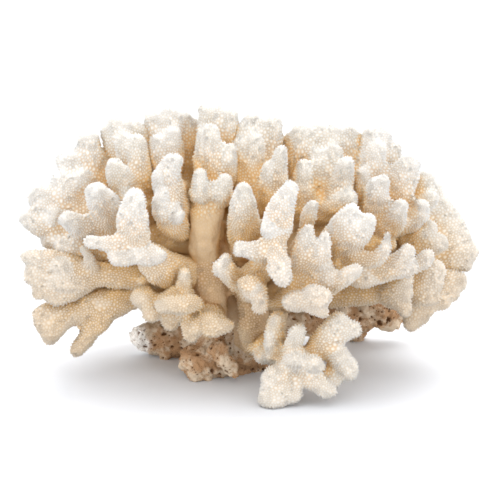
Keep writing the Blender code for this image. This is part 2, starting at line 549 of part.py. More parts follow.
def main():
    clear_scene()
    coral = new_collection("finger_coral_skeleton")
    cutters = new_collection("cutters")
    paint = {name: coral_material(name, colour) for name, colour in COLOURS.items()}
    limbs = [
        ("trunk", TRUNK, "tan"),
        ("dead_branch", DEAD_BRANCH, "dead"),
        ("foot_right", FOOT_RIGHT, "cream"),
        ("foot_left", FOOT_LEFT, "cream"),
        ("crown_middle_limb", CROWN_MIDDLE, "cream"),
        ("front_middle_limb", FRONT_MIDDLE, "white"),
        ("front_right_limb", FRONT_RIGHT, "white"),
        ("left_front_limb", LEFT_FRONT, "white"),
        ("right_front_limb", RIGHT_FRONT, "white"),
        ("left_low_limb", LEFT_LOW, "cream"),
        ("left_middle_limb", LEFT_MIDDLE, "cream"),
        ("left_high_limb", LEFT_HIGH, "white"),
        ("crown_left_limb", CROWN_LEFT, "cream"),
        ("crown_left_middle_limb", CROWN_LEFT_MIDDLE, "white"),
        ("crown_right_middle_limb", CROWN_RIGHT_MIDDLE, "cream"),
        ("crown_right_limb", CROWN_RIGHT, "cream"),
        ("right_high_limb", RIGHT_HIGH, "white"),
        ("right_low_limb", RIGHT_LOW, "cream"),
        ("right_rim_limb", RIGHT_RIM, "cream"),
    ]
    limbs = [(name, [read_run(run) for run in runs], colour) for name, runs, colour in limbs]
    limbs += [(name, back_runs(name), "cream") for name in BACK]
    ground = ground_block(cutters)
    done = []
    for name, runs, colour in limbs:
        limb = weld(name, runs, coral, paint[colour])
        copies = cutter_copies(limb, cutters)
        for cutter in [ground] + done:
            if near(limb, cutter):
                cut = limb.modifiers.new(cutter.name, "BOOLEAN")
                cut.operation, cut.solver = "DIFFERENCE", "MANIFOLD"
                cut.object = cutter
        settle(limb)
        keep_largest(limb)
        done += copies
        print(name, "triangles", sum(len(face.vertices) - 2 for face in limb.data.polygons))


main()
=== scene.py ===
import math

import bmesh
import bpy
import numpy as np
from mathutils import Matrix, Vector, noise
from mathutils.bvhtree import BVHTree


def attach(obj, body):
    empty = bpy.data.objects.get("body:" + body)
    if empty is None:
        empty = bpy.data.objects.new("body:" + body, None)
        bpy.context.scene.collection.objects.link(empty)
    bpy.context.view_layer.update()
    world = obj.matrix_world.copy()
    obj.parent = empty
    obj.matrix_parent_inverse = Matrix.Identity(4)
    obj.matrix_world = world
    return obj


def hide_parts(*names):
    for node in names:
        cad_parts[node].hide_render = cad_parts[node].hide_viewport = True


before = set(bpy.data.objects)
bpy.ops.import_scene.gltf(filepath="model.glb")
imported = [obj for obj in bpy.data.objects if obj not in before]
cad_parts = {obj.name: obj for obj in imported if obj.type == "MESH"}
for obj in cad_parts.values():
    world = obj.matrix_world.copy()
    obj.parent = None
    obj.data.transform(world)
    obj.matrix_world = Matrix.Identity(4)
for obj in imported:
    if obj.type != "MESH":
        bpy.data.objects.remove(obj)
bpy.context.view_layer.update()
print("frame loaded:", len(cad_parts), "nodes")

mm = 0.001
tiny = 1e-6
goldenTurn = math.radians(137.508)            # spreads directions evenly

# Camera: the photograph's angle
shot = {
    "elevation": 15,                          # degrees above the floor
    "distance": 1.40,
    "lookAt": (0.009, 0.0, 0.077),
    "widthSeen": 0.300,                       # at the coral, across the picture
    "sensor": 36,
}

# The limbs. A run is a list of (across, up, depth, width) in mm, from root to tip: across and up as the
# camera sees them, from the middle of the cut, and depth real, negative towards the viewer.
trunk = {
    "node": "trunk", "slot": "coral_tan", "rockRuns": (4, 5, 6, 7, 8, 9, 10, 11, 14),
    "runs": [
        [(-6, -16, 6, 34), (-5, 4, 5, 36), (-4, 22, 4, 38), (-8, 46, 4, 38), (-8, 66, 2, 40),
         (-4, 80, 4, 40)],
        [(2, -14, 12, 34), (6, 8, 12, 36), (12, 30, 12, 38), (14, 52, 14, 42), (16, 70, 14, 40)],
        [(-15, 24, -14, 18), (-14, 40, -20, 20), (-16, 57, -19, 20), (-18, 72, -15, 18)],
        [(10, 12, -14, 16), (11, 28, -22, 18), (10, 44, -21, 18), (4, 60, -12, 20)],
        [(-12, 14, 24, 20), (-34, 19, 32, 22), (-52, 21, 36, 21), (-63, 22, 38, 14)],
        [(-36, 13, 34, 15), (-44, 14, 28, 14)],
        [(-54, 23, 32, 15), (-57, 26, 27, 10)],
        [(-2, 5, 0, 22), (-14, 5, -8, 20), (-24, 4, -14, 19), (-32, 5, -10, 15)],
        [(-20, 10, -8, 16), (-32, 10, -2, 11)],
        [(-12, 18, -16, 14), (-7, 8, -22, 10.5), (1, -3, -22, 8)],
        [(6, 10, -6, 14), (7, 4, -10, 11)],
        [(10, 8, -2, 13), (14, 3, -8, 9)],
        [(9, 36, -24, 12), (7, 27, -29, 10.5), (7, 19, -28, 9)],
        [(1, 30, 24, 34), (2, 50, 30, 38), (4, 70, 34, 36)],
        [(0, 20, 20, 34), (1, 30, 24, 35), (1, 40, 26, 32)],
    ],
}

deadBranch = {
    "node": "dead_branch", "slot": "dead_base", "rockRuns": (0, 1, 2, 3, 4, 5),
    "runs": [
        [(14, 26, 18, 26), (42, 31, 40, 20), (62, 33, 56, 19), (80, 33, 62, 17), (103, 34, 66, 16)],
        [(60, 33, 52, 15), (66, 40, 54, 9)],
        [(72, 30, 60, 16), (72, 19, 70, 11)],
        [(70, 36, 58, 12), (84, 37, 60, 11), (97, 36.5, 62, 9)],
        [(84, 31, 60, 13), (100, 29, 64, 10)],
        [(62, 30, 54, 14), (61, 24, 58, 9)],
    ],
}

footRight = {
    "node": "foot_right", "slot": "coral_cream", "warmth": 0.05, "smoothBelow": 0.10, "beadedAbove": 0.30,
    "lowTint": 0.25,
    "runs": [
        [(8, 22, -12, 21), (22, 14, -30, 17), (36, 8, -44, 16), (48, 9, -52, 15)],
        [(36, 6, -50, 12), (35, 16, -58, 11), (40, 28, -64, 10)],
        [(24, 10, -36, 14), (24, 22, -46, 12), (26, 37, -50, 9)],
        [(24, 8, -44, 11), (20, 20, -52, 7)],
        [(22, 12, -28, 12), (14, 8, -36, 9)],
        [(34, 5, -50, 13), (42, 5, -61, 12), (52, 4.5, -68, 10)],
        [(30, 4, -56, 10), (38, 8, -66, 8)],
        [(34, 3, -50, 13), (26, -5, -60, 15), (19, -22, -67, 16)],
        [(26, 0, -58, 12), (17, -6, -66, 9)],
        [(30, -4, -60, 12), (27, -20, -67, 12)],
        [(36, -4, -58, 9), (35.5, -19, -66, 8)],
        [(40, 0, -56, 12), (49, -6, -63, 12), (59, -14, -66, 9.5)],
        [(46, 10, -50, 14), (56, 22, -54, 16), (65, 35, -56, 12)],
        [(58, 21, -54, 14), (68, 26, -57, 12), (75.5, 25, -58, 9)],
        [(56, 16, -54, 13), (64, 6, -57, 14), (72, -3, -60, 11)],
        [(60, 8, -58, 11), (68, 10, -62, 9)],
        [(52, 2, -52, 10), (63, -8, -58, 7)],
    ],
}

footLeft = {
    "node": "foot_left", "slot": "coral_cream", "warmth": 0.35, "smoothBelow": 0.10, "beadedAbove": 0.30,
    "runs": [
        [(-6, 38, -10, 19), (-20, 38, -22, 17), (-34, 38, -32, 15), (-46, 40, -35, 13)],
        [(-31, 42, -34, 10), (-31, 52, -42, 9), (-30, 62, -46, 8)],
        [(-19.5, 42.5, -46, 10), (-33, 40.5, -52, 11), (-47.5, 41.5, -47, 10)],
        [(-24, 46, -38, 9), (-33, 47, -37, 11), (-43, 45, -38, 9)],
        [(-32, 40, -36, 13), (-33, 40, -46, 12)],
        [(-46, 42, -32, 13), (-55, 45, -36, 13), (-62, 42, -37, 9)],
        [(-44, 41, -33, 13), (-50, 37, -38, 12), (-51, 30, -39, 8)],
        [(-38, 36, -28, 13), (-39, 31, -33, 11), (-37, 25.5, -35, 8)],
        [(-30, 36, -34, 13), (-27, 28, -43, 11), (-26, 18, -44, 8)],
        [(-12, 36, -22, 17), (-16, 31, -42, 13)],
        [(-24, 32, -41, 10), (-13, 29, -46, 15), (-1, 27, -45, 9)],
    ],
}

leftLow = {
    "node": "left_low_limb", "slot": "coral_cream", "warmth": 0.45, "smoothBelow": 0.20, "beadedAbove": 0.45,
    "runs": [
        [(-10, 50, 0, 27.5), (-40, 52, -8, 19.5), (-62, 45, -14, 14.5), (-80, 43, -18, 17),
         (-95, 40, -20, 12)],
        [(-64, 44, -15, 14.5), (-74, 40, -18, 16), (-86, 45, -19, 13)],
        [(-95, 40, -19, 12), (-106, 33, -23, 18), (-114, 19, -27, 15.5)],
        [(-86, 43, -19, 11), (-95, 36, -20, 11), (-101, 28, -22, 9.5)],
        [(-97, 40, -20, 12), (-112, 34, -24, 15.5), (-121, 31, -27, 10.5)],
        [(-70, 42, -17, 14), (-78, 34, -21, 13), (-87, 23.5, -23, 11.5), (-97, 9.5, -24, 10)],
        [(-92, 42, -12, 13.5), (-110, 44, -4, 11.5)],
        [(-84, 44, -10, 13.5), (-100, 50, 4, 11.5)],
        [(-104, 38, -22, 10.5), (-113, 38, -25, 8.5)],
    ],
}

leftMiddle = {
    "node": "left_middle_limb", "slot": "coral_cream",
    "runs": [
        [(-12, 62, 2, 26), (-36, 61, -8, 20), (-56, 57, -16, 15), (-76, 58, -20, 15), (-92, 58, -25, 17)],
        [(-88, 60, -25, 17), (-104, 65, -29, 15), (-118, 68.5, -33, 10), (-129, 69.5, -35, 7.5)],
        [(-90, 57, -26, 16), (-110, 58.5, -30, 15), (-126.5, 58.5, -33, 12.5)],
        [(-88, 55, -25, 13), (-106, 49.5, -30, 12), (-123, 47, -34, 8)],
        [(-86, 54, -25, 11), (-100, 46.5, -30, 9.5), (-114, 43, -33, 7)],
        [(-84, 60, -24, 9.5), (-87, 67, -33, 7), (-93, 77, -38, 5.5)],
        [(-88, 56, -26, 13), (-97, 52, -33, 10), (-108, 53, -36, 8)],
        [(-100, 60, -28, 12), (-106, 64, -36, 8)],
        [(-51, 55, -14, 12), (-53, 54, -29, 9)],
        [(-88, 63, -18, 15), (-104, 69, -14, 13), (-116, 70, -12, 9)],
        [(-94, 52, -18, 16), (-116, 52, -10, 13)],
    ],
}

leftFront = {
    "node": "left_front_limb", "slot": "coral_white",
    "runs": [
        [(-12, 56, -6, 22), (-30, 59, -20, 21), (-43, 62, -32, 22), (-57, 75, -46, 17)],
        [(-57, 71, -46, 16), (-61, 86, -54, 19), (-61, 98, -59, 16), (-60, 109, -62, 12)],
        [(-62, 78, -48, 12), (-76, 77, -56, 9), (-91, 79, -60, 8)],
        [(-60, 71, -46, 12), (-74, 68, -58, 9)],
        [(-56, 71, -46, 13), (-44, 69, -60, 9)],
        [(-66, 72, -48, 11), (-58, 68, -56, 10)],
    ],
}

leftHigh = {
    "node": "left_high_limb", "slot": "coral_white", "web": 0.0024,
    "runs": [
        [(-10, 74, 4, 26), (-36, 82, 2, 24), (-64, 88, -3, 23), (-88, 92, -8, 23), (-100, 95, -9, 19)],
        [(-98, 92, -12, 14), (-114, 86, -18, 12), (-129, 94, -25, 9)],
        [(-94, 88, -12, 15), (-108, 80, -16, 13), (-117, 79, -18, 9)],
        [(-98, 96, -10, 14), (-110, 101, -13, 13), (-122, 108, -15, 15)],
        [(-96, 98, -8, 16), (-102, 108, -9, 15), (-106, 119, -9, 12)],
        [(-92, 100, 0, 15), (-96, 116, 3, 13), (-102, 130, 3, 16)],
        [(-82, 98, 0, 18), (-85, 118, 5, 16), (-89, 144, 6, 15)],
        [(-80, 86, -14, 14), (-92, 87, -27, 14), (-104, 93, -38, 11)],
        [(-73, 87, -12, 15), (-78, 98, -30, 17), (-85, 112, -42, 13)],
        [(-76, 88, -14, 11), (-72, 100, -30, 8), (-73, 108, -32, 7)],
        [(-78, 82, -8, 15), (-94, 76, -20, 16), (-108, 75.5, -26, 11)],
        [(-56, 76, -2, 15), (-74, 71, -8, 13), (-87, 69, -12, 10)],
        [(-76, 92, 4, 18), (-79, 114, 8, 15), (-79, 133, 10, 11)],
        [(-88, 106, 0, 14), (-93, 120, -8, 9)],
        [(-90, 108, 10, 13), (-97, 126, 14, 11)],
        [(-98, 98, 2, 15), (-110, 112, 8, 11)],
        [(-92, 92, 2, 17), (-114, 94, 10, 12)],
        [(-84, 84, -2, 16), (-102, 78, 4, 12)],
        [(-106, 96, -12, 11), (-110, 93, -22, 9)],
    ],
}

crownLeft = {
    "node": "crown_left_limb", "slot": "coral_cream", "web": 0.0024,
    "runs": [
        [(-6, 74, 4, 29), (-26, 90, 4, 25), (-46, 104, 4, 23), (-57, 116, 4, 23)],
        [(-57, 110, 5, 17), (-66, 130, 7, 16), (-69, 153, 7, 15)],
        [(-56, 112, 6, 16), (-60, 132, 9, 15), (-61, 151, 10, 13)],
        [(-54, 112, 8, 15), (-56, 132, 10, 14), (-56, 148, 10, 11)],
        [(-56, 112, 4, 17), (-69, 130, 9, 15), (-77, 149, 10, 12)],
        [(-58, 102, -6, 16), (-67, 112, -17, 15), (-73.5, 127, -20, 12)],
        [(-54, 106, -2, 15), (-57, 122, -8, 13), (-59, 142, -6, 11)],
        [(-50, 94, -6, 16), (-60, 97, -20, 14), (-67, 106, -22, 11)],
        [(-62, 118, 2, 13), (-66, 134, -1, 11), (-66, 143, -1, 9)],
    ],
}

crownLeftMiddle = {
    "node": "crown_left_middle_limb", "slot": "coral_white", "web": 0.0024,
    "runs": [
        [(-6, 72, 6, 26.5), (-18, 88, 6, 23.5), (-32, 104, 6, 22.5), (-40, 120, 6, 21.5)],
        [(-42, 112, 6, 16.5), (-46, 136, 11, 14.5), (-49, 157, 11, 12.5)],
        [(-38, 114, 6, 17.5), (-39, 138, 7, 16.5), (-39, 159, 7, 14.5)],
        [(-34, 112, 8, 14.5), (-32, 134, 11, 12.5), (-31, 157, 12, 10.5)],
        [(-32, 100, 6, 16), (-27, 126, 12, 12.5), (-25, 153.5, 14, 10)],
        [(-43, 112, 2, 12.5), (-46, 130, -2, 10.5), (-47, 142, -2, 8.5)],
        [(-36, 118, 2, 12.5), (-36, 134, -4, 10.5), (-37, 146, -4, 8.5)],
        [(-30, 90, -8, 15.5), (-37, 103, -24, 17.5), (-41, 117, -33, 16.5), (-35, 131, -36, 10.5)],
        [(-39, 106, -26, 14.5), (-46, 118, -34, 9.5)],
        [(-32, 106, 2, 16), (-36, 110, -14, 15), (-40, 113, -28, 14)],
        [(-28, 82, -8, 15.5), (-37, 88, -26, 15), (-44, 96, -37, 11), (-46, 107, -40, 7)],
        [(-40, 96, -32, 13), (-32, 92.5, -41, 7.5)],
    ],
}

crownMiddle = {
    "node": "crown_middle_limb", "slot": "coral_cream", "web": 0.0024,
    "smoothBelow": 0.55, "beadedAbove": 0.61, # the tall stalk is smooth up to its ledge
    "runs": [
        [(-14, 56, -12, 21), (-18, 72, -17, 19), (-18, 90, -18, 19.5), (-16, 104, -14, 23),
         (-13, 120, -6, 22)],
        [(-16, 112, -4, 16), (-16, 136, 0, 14), (-16.5, 160.5, 2, 12)],
        [(-12, 114, -2, 15), (-11, 138, 4, 14), (-11, 161, 5, 12)],
        [(-8, 110, 0, 15), (-4, 134, 3, 13), (-3, 158, 4, 11)],
        [(-14, 106, -12, 15), (-14, 128, -17, 12), (-15, 149, -15, 10)],
        [(-20, 112, -6, 11), (-20, 132, -8, 9), (-20, 146, -6, 7)],
        [(-20, 106, -19, 12), (-21.5, 107, -31, 12.5), (-20.5, 122, -33, 8.5)],
        [(-8, 104, -16, 13), (-6.5, 107, -28, 11), (-6, 119, -29, 7.5)],
        [(-6, 112, -10, 13), (-3, 124, -16, 9.5), (-2, 138, -16, 7)],
    ],
}

crownRightMiddle = {
    "node": "crown_right_middle_limb", "slot": "coral_cream", "web": 0.0024,
    "runs": [
        [(2, 62, -2, 27.5), (6, 84, -2, 23.5), (12, 104, 0, 22.5), (16, 120, 0, 22.5)],
        [(12, 110, 2, 15.5), (11, 134, 3, 14.5), (11, 155, 4, 13.5)],
        [(18, 110, 2, 15.5), (21, 134, 6, 14.5), (22, 154, 7, 14.5)],
        [(14, 112, 2, 13.5), (16, 136, 6, 13.5), (17, 153, 6, 11.5)],
        [(8, 104, 0, 15), (5, 124, -1, 13), (5, 150, 3, 9)],
        [(8, 98, -6, 15), (3, 116, -6, 12), (2, 140, -4, 9)],
        [(12, 104, -6, 15.5), (12, 124, -8, 12.5), (12, 143, -6, 9.5)],
        [(18, 94, -10, 14.5), (24, 110, -18, 13.5), (26, 122, -22, 11.5), (29, 136, -24, 8)],
        [(18, 96, -10, 12.5), (19, 110, -20, 9.5), (19, 126, -24, 7.5)],
        [(6, 68, -14, 18.5), (5, 84, -30, 18.5), (5, 98, -42, 16.5), (5, 114, -48, 10.5)],
        [(10, 84, -30, 11.5), (13, 92, -38, 8.5)],
    ],
}

crownRight = {
    "node": "crown_right_limb", "slot": "coral_cream", "web": 0.0024,
    "runs": [
        [(6, 66, 6, 28), (20, 84, 8, 25), (36, 100, 8, 25), (50, 114, 8, 26)],
        [(38, 104, 8, 14), (34, 124, 12, 12), (33, 143, 12, 10)],
        [(42, 106, 6, 16), (40, 130, 7, 15), (40, 149, 7, 13)],
        [(48, 108, 8, 17), (49, 132, 11, 16), (49, 149.5, 11, 14)],
        [(54, 108, 6, 17), (58, 132, 8, 16), (60, 148, 8, 14)],
        [(58, 106, 8, 17), (66, 130, 11, 15), (69, 149, 11, 13)],
        [(60, 104, 6, 15), (71, 124, 12, 15), (74, 143.5, 13, 12)],
        [(54, 94, -2, 16), (62, 108, -12, 14), (68, 128, -20, 10.5)],
        [(50, 92, -2, 16), (59, 99, -16, 14), (72, 106, -24, 11)],
        [(40, 92, -4, 15), (40, 108, -12, 13), (42, 128, -12, 10)],
        [(48, 100, 0, 15), (50, 120, -4, 12), (52, 134, -2, 10)],
        [(58, 106, 0, 14), (60, 124, -6, 11), (60, 137, -4, 9)],
    ],
}

rightHigh = {
    "node": "right_high_limb", "slot": "coral_white", "web": 0.0024,
    "runs": [
        [(14, 62, 8, 30.5), (38, 76, 8, 25.5), (62, 88, 8, 24.5), (80, 98, 6, 24.5)],
        [(76, 98, 8, 16.5), (80, 124, 9, 15.5), (83, 147.5, 9, 14.5)],
        [(70, 92, 4, 18), (75, 112, 4, 15), (77, 130, 6, 11)],
        [(80, 98, 8, 16.5), (87, 124, 11, 14.5), (90, 145, 11, 11.5)],
        [(84, 98, 8, 15.5), (93, 118, 13, 11.5), (97, 138, 13, 8.5)],
        [(84, 94, 2, 17.5), (98, 106, -2, 16.5), (106, 130, -4, 14.5)],
        [(74, 86, -2, 14.5), (82, 98, -16, 12), (86, 107, -22, 11), (91, 118, -26, 8.5)],
        [(80, 98, -16, 10), (84, 116, -25, 7.5)],
        [(82, 82, -4, 15), (95, 88, -18, 12.5), (100, 103, -26, 9)],
        [(86, 86, 0, 15.5), (108, 91, -10, 11.5), (113, 103, -16, 8)],
        [(82, 108, 4, 14.5), (84, 124, 0, 12.5), (86, 138, 2, 10.5)],
        [(76, 92, 0, 14.5), (76, 108, -6, 10.5), (75, 122, -6, 8.5)],
    ],
}

rightRim = {
    "node": "right_rim_limb", "slot": "coral_cream", "warmth": 0.40, "web": 0.0024,
    "runs": [
        [(16, 54, 18, 28.5), (46, 66, 22, 25.5), (74, 76, 19, 25.5), (98, 82, 16, 27.5),
         (112, 84, 14, 27.5)],
        [(100, 90, 14, 17.5), (110, 105, 15, 14.5), (116, 120.5, 15, 11.5)],
        [(102, 90, 15, 17.5), (114, 102, 17, 14.5), (122, 114, 17, 10.5)],
        [(104, 88, 14, 18.5), (116, 98, 15, 16.5), (127, 104.5, 15, 12.5)],
        [(106, 86, 14, 19.5), (121, 92, 15, 16.5), (133, 97, 15, 12.5)],
        [(106, 84, 12, 19.5), (124, 86, 13, 17.5), (139, 87, 13, 13.5)],
        [(106, 82, 11, 19.5), (126, 80, 11, 17.5), (142, 79, 11, 13.5)],
        [(106, 78, 9, 19.5), (126, 74, 9, 17.5), (145, 71, 8, 14.5)],
        [(102, 72, 8, 18.5), (124, 67, 8, 15.5), (142, 65, 7, 10.5)],
        [(98, 80, 4, 16.5), (111, 84, -4, 13.5), (120, 90, -6, 9.5)],
        [(100, 76, 2, 15.5), (116, 76, -4, 13.5), (128, 79, -6, 10.5)],
        [(104, 92, 10, 14.5), (115, 101, 4, 11.5), (119, 107, 4, 8.5)],
        [(46, 66, 8, 20), (74, 75, -8, 18), (97, 79, -14, 13)],
    ],
}

rightFront = {
    "node": "right_front_limb", "slot": "coral_white",
    "runs": [
        [(10, 54, -8, 23.5), (32, 58, -20, 19.5), (52, 64, -30, 18.5), (66, 72, -38, 18.5)],
        [(60, 74, -38, 16.5), (65, 85, -48, 18.5), (71, 100, -55, 10.5)],
        [(64, 74, -40, 17.5), (74, 84, -50, 15.5), (82, 93.5, -56, 8.5)],
        [(58, 74, -38, 13.5), (57, 85, -46, 9.5)],
        [(64, 70, -38, 14), (80, 67, -46, 10), (89, 72, -53, 8), (92.5, 86, -56, 6.5)],
        [(72, 61, -30, 15.5), (88, 61, -38, 13.5), (101, 68, -45, 11.5), (105, 78, -47, 8)],
        [(92, 61, -36, 11.5), (105, 62, -41, 8.5), (106, 69, -43, 7.5)],
        [(82, 60, -26, 13.5), (100, 62, -28, 10.5), (112, 66, -31, 9.5), (118, 73, -32, 8.5)],
        [(62, 64, -34, 16.5), (76, 58, -36, 14.5), (88, 60, -36, 12.5)],
    ],
}

rightLow = {
    "node": "right_low_limb", "slot": "coral_cream", "warmth": 0.20,
    "runs": [
        [(10, 44, 4, 28), (36, 46, -2, 20), (60, 47.5, -10, 17), (80, 48, -14, 16.5), (96, 50, -16, 16)],
        [(86, 49, -16, 14), (96, 51, -26, 12.5), (105, 58, -35, 9)],
        [(88, 47, -16, 14), (98, 44, -26, 12.5), (104.5, 34.5, -34, 8)],
        [(92, 48, -23, 14), (106, 47, -35, 9)],
        [(98, 51, -12, 16), (112, 54, -17, 16), (124, 55, -22, 11)],
        [(100, 55, -12, 14), (114, 61, -17, 13), (126, 62, -19, 10)],
        [(100, 48, -12, 15), (113, 46, -18, 13), (123, 44, -21, 9)],
        [(96, 52, -2, 20), (120, 55, 2, 17), (139, 55, 3, 13)],
        [(98, 48, -4, 19), (120, 48, -2, 16), (135, 47, -2, 10)],
        [(98, 46, -6, 18), (118, 44, -8, 14), (129, 41, -9, 9)],
        [(102, 45, -8, 16), (106.5, 34, -11, 12), (104, 24, -12, 8)],
        [(100, 44, -8, 16), (110, 36, -11, 14), (119, 37, -12, 9)],
        [(104, 42, -8, 14), (112, 36, -12, 12), (114, 30, -12, 8)],
    ],
}

frontMiddle = {
    "node": "front_middle_limb", "slot": "coral_white",
    "runs": [
        [(4, 50, -12, 20), (10, 56, -28, 17), (17, 64, -42, 16), (22, 72, -52, 15)],
        [(21, 71, -52, 15), (25, 84, -60, 16), (27, 96, -65, 16), (35, 115, -70, 10.5)],
        [(26, 88, -62, 11), (16, 86, -67, 8)],
        [(20, 76, -52, 12), (25, 71, -62, 12), (27, 62, -68, 14), (32, 53, -71, 10)],
        [(20, 71, -50, 13), (10, 73, -58, 11), (-1, 75, -63, 9)],
        [(8, 50, -22, 14), (-1, 57, -42, 12), (-12, 63, -54, 10)],
        [(-3, 60, -46, 9), (-6, 70, -52, 7.5)],
        [(8, 46, -24, 14), (11, 49, -46, 13), (12, 50, -60, 12)],
        [(0.5, 53, -61, 8.5), (9, 52, -60, 12), (15, 45, -59, 11), (13.5, 35, -58, 8)],
    ],
}

frontRight = {
    "node": "front_right_limb", "slot": "coral_white",
    "runs": [
        [(8, 44, -8, 20), (25, 51, -24, 16), (35, 57, -39, 14.5), (40, 63, -50, 14.5)],
        [(37, 62, -50, 13), (40, 74, -56, 11.5), (45, 88.5, -62, 7.5)],
        [(42, 63, -52, 12), (51.5, 69, -62, 11), (55, 84.5, -67, 8)],
        [(37, 65, -51, 10.5), (34, 72, -55, 7.5)],
        [(44, 63, -52, 11.5), (53, 66, -60, 8.5)],
        [(36, 64, -34, 12.5), (42, 84, -38, 9.5), (47, 104, -42, 8.5)],
        [(34, 52, -42, 12.5), (46, 56, -52, 10.5), (59, 64, -60, 7.5)],
        [(42, 52, -48, 10), (51, 53, -56, 9), (58, 55, -60, 7)],
        [(40, 44, -44, 12.5), (58, 51, -58, 9.5), (67, 58, -64, 10), (76.5, 62.5, -68, 7.5)],
        [(16, 44, -14, 16), (28, 43, -36, 13), (38, 43, -56, 13), (48, 44, -70, 14.5), (58.5, 45, -74, 9.5)],
        [(40, 42, -60, 13.5), (30, 43, -68, 10.5)],
        [(44, 44, -68, 12.5), (49, 51, -72, 8.5)],
        [(46, 42, -66, 13.5), (54, 35, -72, 8.5)],
    ],
}

# The back, which the photograph doesn't show: each limb's root and where its fingers gather, x, y, z in mm.
# The tips follow a golden spiral over the outline, and each belongs to the limb nearest its way out.
back = {
    "slot": "coral_cream",
    "limbs": {
        "back_left_limb": ((-12, 18, 50), (-62, 26, 58)),
        "back_middle_left_limb": ((-6, 24, 46), (-24, 46, 50)),
        "back_middle_right_limb": ((10, 26, 46), (30, 46, 50)),
        "back_right_limb": ((20, 20, 50), (70, 28, 58)),
        "crown_back_left_limb": ((-10, 18, 64), (-48, 30, 88)),
        "crown_back_middle_limb": ((2, 24, 64), (0, 42, 90)),
        "crown_back_right_limb": ((14, 18, 64), (54, 30, 88)),
    },
    "outlineMiddle": (0.006, 0.004, 0.058), "outlineReach": (0.126, 0.086, 0.096),
    "spiralTips": 300,
    "wave": 0.04, "waveTurn": 5.0,            # how the outline goes in and out from tip to tip
    "from": 0.017, "lowest": 0.030,           # how far back and how high the tips start
    "stemWidths": (0.028, 0.025, 0.026), "fingerWidths": (0.018, 0.017, 0.0135),
    "bendNear": 0.55, "bendFar": 0.8,         # a finger bends between these shares of two ways to its tip
}


# From the picture to the world
def placeAt(across, up, depth):
    tilt = math.radians(shot["elevation"])
    middle, distance = Vector(shot["lookAt"]), shot["distance"]
    rise, reach = math.sin(tilt), math.cos(tilt)
    originUp = -middle.z * reach / (1 + middle.z * rise / distance)
    side = across * mm - middle.x
    height = up * mm + originUp
    length = (depth * mm + distance * reach) / (height * rise + distance * reach)   # of the line of sight
    past = distance * (length - 1)
    return middle + Vector((side * length,
                            height * length * rise + past * reach,
                            height * length * reach - past * rise))


def readRun(run):
    return [[*placeAt(across, up, depth), width * mm] for across, up, depth, width in run]


def backRuns(name):
    root, gather = (Vector(place) * mm for place in back["limbs"][name])
    middle, reach = Vector(back["outlineMiddle"]), Vector(back["outlineReach"])
    stem = (root, root.lerp(gather, 0.5), gather)
    runs = [[[*place, width] for place, width in zip(stem, back["stemWidths"])]]
    for index in range(back["spiralTips"]):
        height = 1 - 2 * (index + 0.5) / back["spiralTips"]
        girth = math.sqrt(1 - height ** 2)
        spin = index * goldenTurn
        wave = 1 - back["wave"] + back["wave"] * math.sin(back["waveTurn"] * index)
        way = Vector((reach.x * girth * math.cos(spin),
                      reach.y * girth * math.sin(spin),
                      reach.z * height)) * wave
        tip = middle + way
        if tip.y < back["from"] or tip.z < back["lowest"]:
            continue
        turns = {limb: way.angle(Vector(ends[1]) * mm - middle) for limb, ends in back["limbs"].items()}
        if min(turns, key=turns.get) == name:
            bend = gather.lerp(tip, back["bendNear"]).lerp(middle.lerp(tip, back["bendFar"]), 0.5)
            finger = (gather, bend, tip)
            runs.append([[*place, width] for place, width in zip(finger, back["fingerWidths"])])
    return runs


# The smooth curve through a run's points, at this share of its way
def along(points, share):
    spans = len(points) - 1
    span = min(int(share * spans), spans - 1)
    t = share * spans - span
    p0, p1, p2, p3 = points[max(span - 1, 0)], points[span], points[span + 1], points[min(span + 2, spans)]
    return [0.5 * (2 * b + (c - a) * t + (2 * a - 5 * b + 4 * c - d) * t ** 2
                   + (3 * b - a - 3 * c + d) * t ** 3)
            for a, b, c, d in zip(p0, p1, p2, p3)]


# How all limbs grow, in metres
growth = {
    "seed": 7,
    "sides": 14, "rings": 18,                 # of the ball that a run draws out
    "bluntness": 3.2, "flatness": 0.82,
    "headOn": 0.4,                            # nearer the line of sight than this, a run is broad along X
    "lookAhead": 0.02,                        # share of a run over which its direction is taken
    "fineSkin": 0.0013, "fineRounds": 3,      # the skin that welds the runs
    "web": 0.0012,                            # the skin is grown and drawn in by this, to web the forks
    "wobble": 0.0024, "wobbleSize": 0.007,    # uneven growth
    "beadPitch": 0.00172,                     # from bead to bead
    "shake": 0.00030, "relaxRounds": 8,       # before and after the thinning, so that beads fall evenly
}


def newPiece(name, bm):
    data = bpy.data.meshes.new(name)
    bm.to_mesh(data)
    bm.free()
    piece = bpy.data.objects.new(name, data)
    bpy.context.scene.collection.objects.link(piece)
    return piece


# A ball, drawn out along a run
def drawOut(bm, run, sides, rings):
    start, end = Vector(run[0][:3]), Vector(run[-1][:3])
    tilt = math.radians(shot["elevation"])
    broad = (end - start).normalized().cross(Vector((0, -math.cos(tilt), math.sin(tilt))))
    if broad.length < growth["headOn"]:
        broad = Vector((1, 0, 0))
    ball = bmesh.ops.create_uvsphere(bm, u_segments=sides, v_segments=rings, radius=1)
    blunt, step = growth["bluntness"], growth["lookAhead"]
    for vert in ball["verts"]:
        height = max(-1, min(1, vert.co.z))
        share = (1 + height) / 2
        *place, width = along(run, share)
        ahead = Vector(along(run, min(share + step, 1))[:3]) - Vector(along(run, max(share - step, 0))[:3])
        ahead.normalize()
        side = (broad - ahead * broad.dot(ahead)).normalized()
        front = side.cross(ahead)
        girth = math.hypot(vert.co.x, vert.co.y)
        swell = (1 - abs(height) ** blunt) ** (1 / blunt) / girth if girth > tiny else 0
        vert.co = (Vector(place) + side * (vert.co.x * swell * width / 2)
                   + front * (vert.co.y * swell * width / 2 * growth["flatness"]))


